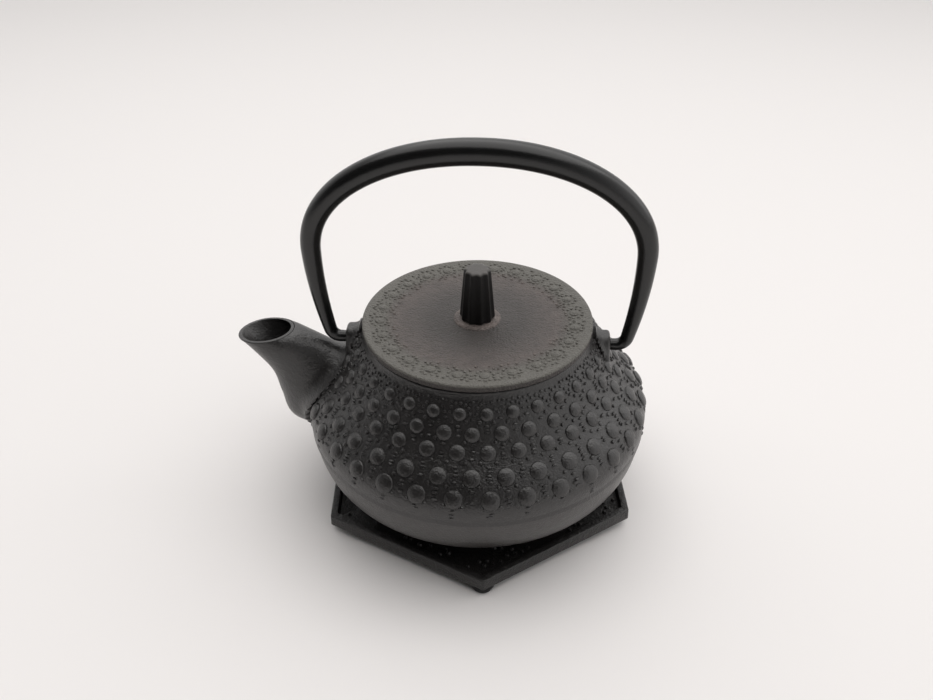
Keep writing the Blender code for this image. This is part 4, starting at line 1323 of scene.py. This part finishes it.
def colour(name, description, default):
    """A setting of red, green and blue from 0 to 1."""
    return FloatVectorProperty(
        name=name, description=description, default=default, size=3, min=0.0, max=1.0, subtype="COLOR"
    )


def power(name, description, default):
    """A setting in watts."""
    return FloatProperty(name=name, description=description, default=default, min=0.0, unit="POWER")


class TeapotLooks(bpy.types.PropertyGroup):
    """Sizes and colours of the teapot's finish."""

    dome_height: length("Dome height", "How far the belly's domes rise", 0.00115)
    dot_height: length("Dot height", "How far the small dots between the domes rise", 0.00075)
    lid_dome_height: length("Lid dome height", "How far the lid's domes rise", 0.00075)
    spout_fillet: length("Spout fillet", "Radius where the spout runs into the belly", 0.0055)
    hole_radius: length("Hole radius", "Radius of the infuser's holes", 0.00055)
    hole_pitch: length("Hole pitch", "Distance between the infuser's holes", 0.0023)
    pot_colour: colour("Pot colour", "Paler tone of the pot's iron", (0.0145, 0.0131, 0.0126))
    # Painted light: the bowl's paler colour stands for light from the floor.
    bowl_floor_light_colour: colour("Bowl colour", "Smooth bowl under the ridge, painted paler for the floor's light", (0.036, 0.033, 0.0315))
    # Partly painted light: browner iron, paled further for the light the lid's top takes from above.
    lid_iron_and_top_light_colour: colour("Lid colour", "Paler tone of the lid's iron, with painted light on its top", (0.172, 0.142, 0.130))
    lid_band_colour: colour("Lid band colour", "Band of beads round the lid", (0.122, 0.117, 0.104))
    # Painted shade on the rim's side, the skirt and the underside.
    lid_side_shade_colour: colour("Lid side colour", "Painted shade on the side of the lid's rim, and on its skirt", (0.055, 0.049, 0.046))
    knob_colour: colour("Knob colour", "Paler tone of the knob's side", (0.006, 0.0055, 0.0055))
    knob_top_colour: colour("Knob top colour", "Paler top of the knob", (0.10, 0.095, 0.09))
    handle_colour: colour("Handle colour", "Enamel on the handle", (0.0045, 0.0045, 0.0045))
    trivet_colour: colour("Trivet colour", "Paler tone of the trivet's iron", (0.015, 0.014, 0.0135))
    steel_colour: colour("Steel colour", "Steel of the infuser and the fixings", (0.56, 0.56, 0.55))
    rubber_colour: colour("Rubber colour", "Pads under the trivet", (0.014, 0.014, 0.014))
    floor_colour: colour("Floor colour", "Floor under the teapot", (0.82, 0.80, 0.79))
    sky_strength: FloatProperty(name="Sky", description="Strength of the light all round", default=1.08, min=0.0)
    over_power: power("Light over", "Power of the light above", 13.0)
    left_power: power("Light left", "Power of the left light", 0.4)
    right_power: power("Light right", "Power of the right light", 1.0)


class TEAPOT_OT_pot(bpy.types.Operator):
    """Build the beaded pot casting with its spout and lugs"""

    bl_idname = "teapot.build_pot"
    bl_label = "Pot"

    def execute(self, context):
        build_pot(context.scene.teapot_looks)
        return {"FINISHED"}


class TEAPOT_OT_handle(bpy.types.Operator):
    """Build the bail handle"""

    bl_idname = "teapot.build_handle"
    bl_label = "Handle"

    def execute(self, context):
        build_handle(context.scene.teapot_looks)
        return {"FINISHED"}


class TEAPOT_OT_lid(bpy.types.Operator):
    """Build the lid casting with its beads"""

    bl_idname = "teapot.build_lid"
    bl_label = "Lid"

    def execute(self, context):
        build_lid(context.scene.teapot_looks)
        return {"FINISHED"}


class TEAPOT_OT_knob(bpy.types.Operator):
    """Build the fluted knob, its washer and its rivet"""

    bl_idname = "teapot.build_knob"
    bl_label = "Knob and fixings"

    def execute(self, context):
        build_knob(context.scene.teapot_looks)
        build_fixings(context.scene.teapot_looks)
        return {"FINISHED"}


class TEAPOT_OT_infuser(bpy.types.Operator):
    """Build the perforated infuser basket"""

    bl_idname = "teapot.build_infuser"
    bl_label = "Infuser"

    def execute(self, context):
        build_infuser(context.scene.teapot_looks)
        return {"FINISHED"}


class TEAPOT_OT_trivet(bpy.types.Operator):
    """Build the trivet and its rubber pads"""

    bl_idname = "teapot.build_trivet"
    bl_label = "Trivet and pads"

    def execute(self, context):
        build_trivet(context.scene.teapot_looks)
        build_feet(context.scene.teapot_looks)
        return {"FINISHED"}


class TEAPOT_OT_stage(bpy.types.Operator):
    """Build the floor, the lights and the camera"""

    bl_idname = "teapot.build_stage"
    bl_label = "Floor, lights and camera"

    def execute(self, context):
        build_floor(context.scene.teapot_looks)
        build_light(context.scene.teapot_looks)
        build_camera()
        return {"FINISHED"}


OPERATORS = (
    TEAPOT_OT_pot, TEAPOT_OT_handle, TEAPOT_OT_lid, TEAPOT_OT_knob, TEAPOT_OT_infuser, TEAPOT_OT_trivet,
    TEAPOT_OT_stage,
)


class TEAPOT_PT_panel(bpy.types.Panel):
    """The teapot's sizes and colours, and a button for each group of pieces"""

    bl_idname = "TEAPOT_PT_panel"
    bl_label = "Teapot"
    bl_space_type = "VIEW_3D"
    bl_region_type = "UI"
    bl_category = "Teapot"

    def draw(self, context):
        looks = context.scene.teapot_looks
        for name in TeapotLooks.__annotations__:
            self.layout.prop(looks, name)
        for operator in OPERATORS:
            self.layout.operator(operator.bl_idname)


CLASSES = (TeapotLooks, *OPERATORS, TEAPOT_PT_panel)


def register():
    for made in CLASSES:
        bpy.utils.register_class(made)
    bpy.types.Scene.teapot_looks = PointerProperty(type=TeapotLooks)


def unregister():
    del bpy.types.Scene.teapot_looks
    for made in reversed(CLASSES):
        bpy.utils.unregister_class(made)


def main():
    """Builds each group of pieces through its operator."""
    register()
    for operator in OPERATORS:
        group, name = operator.bl_idname.split(".")
        getattr(getattr(bpy.ops, group), name)()


if __name__ == "__main__":
    main()
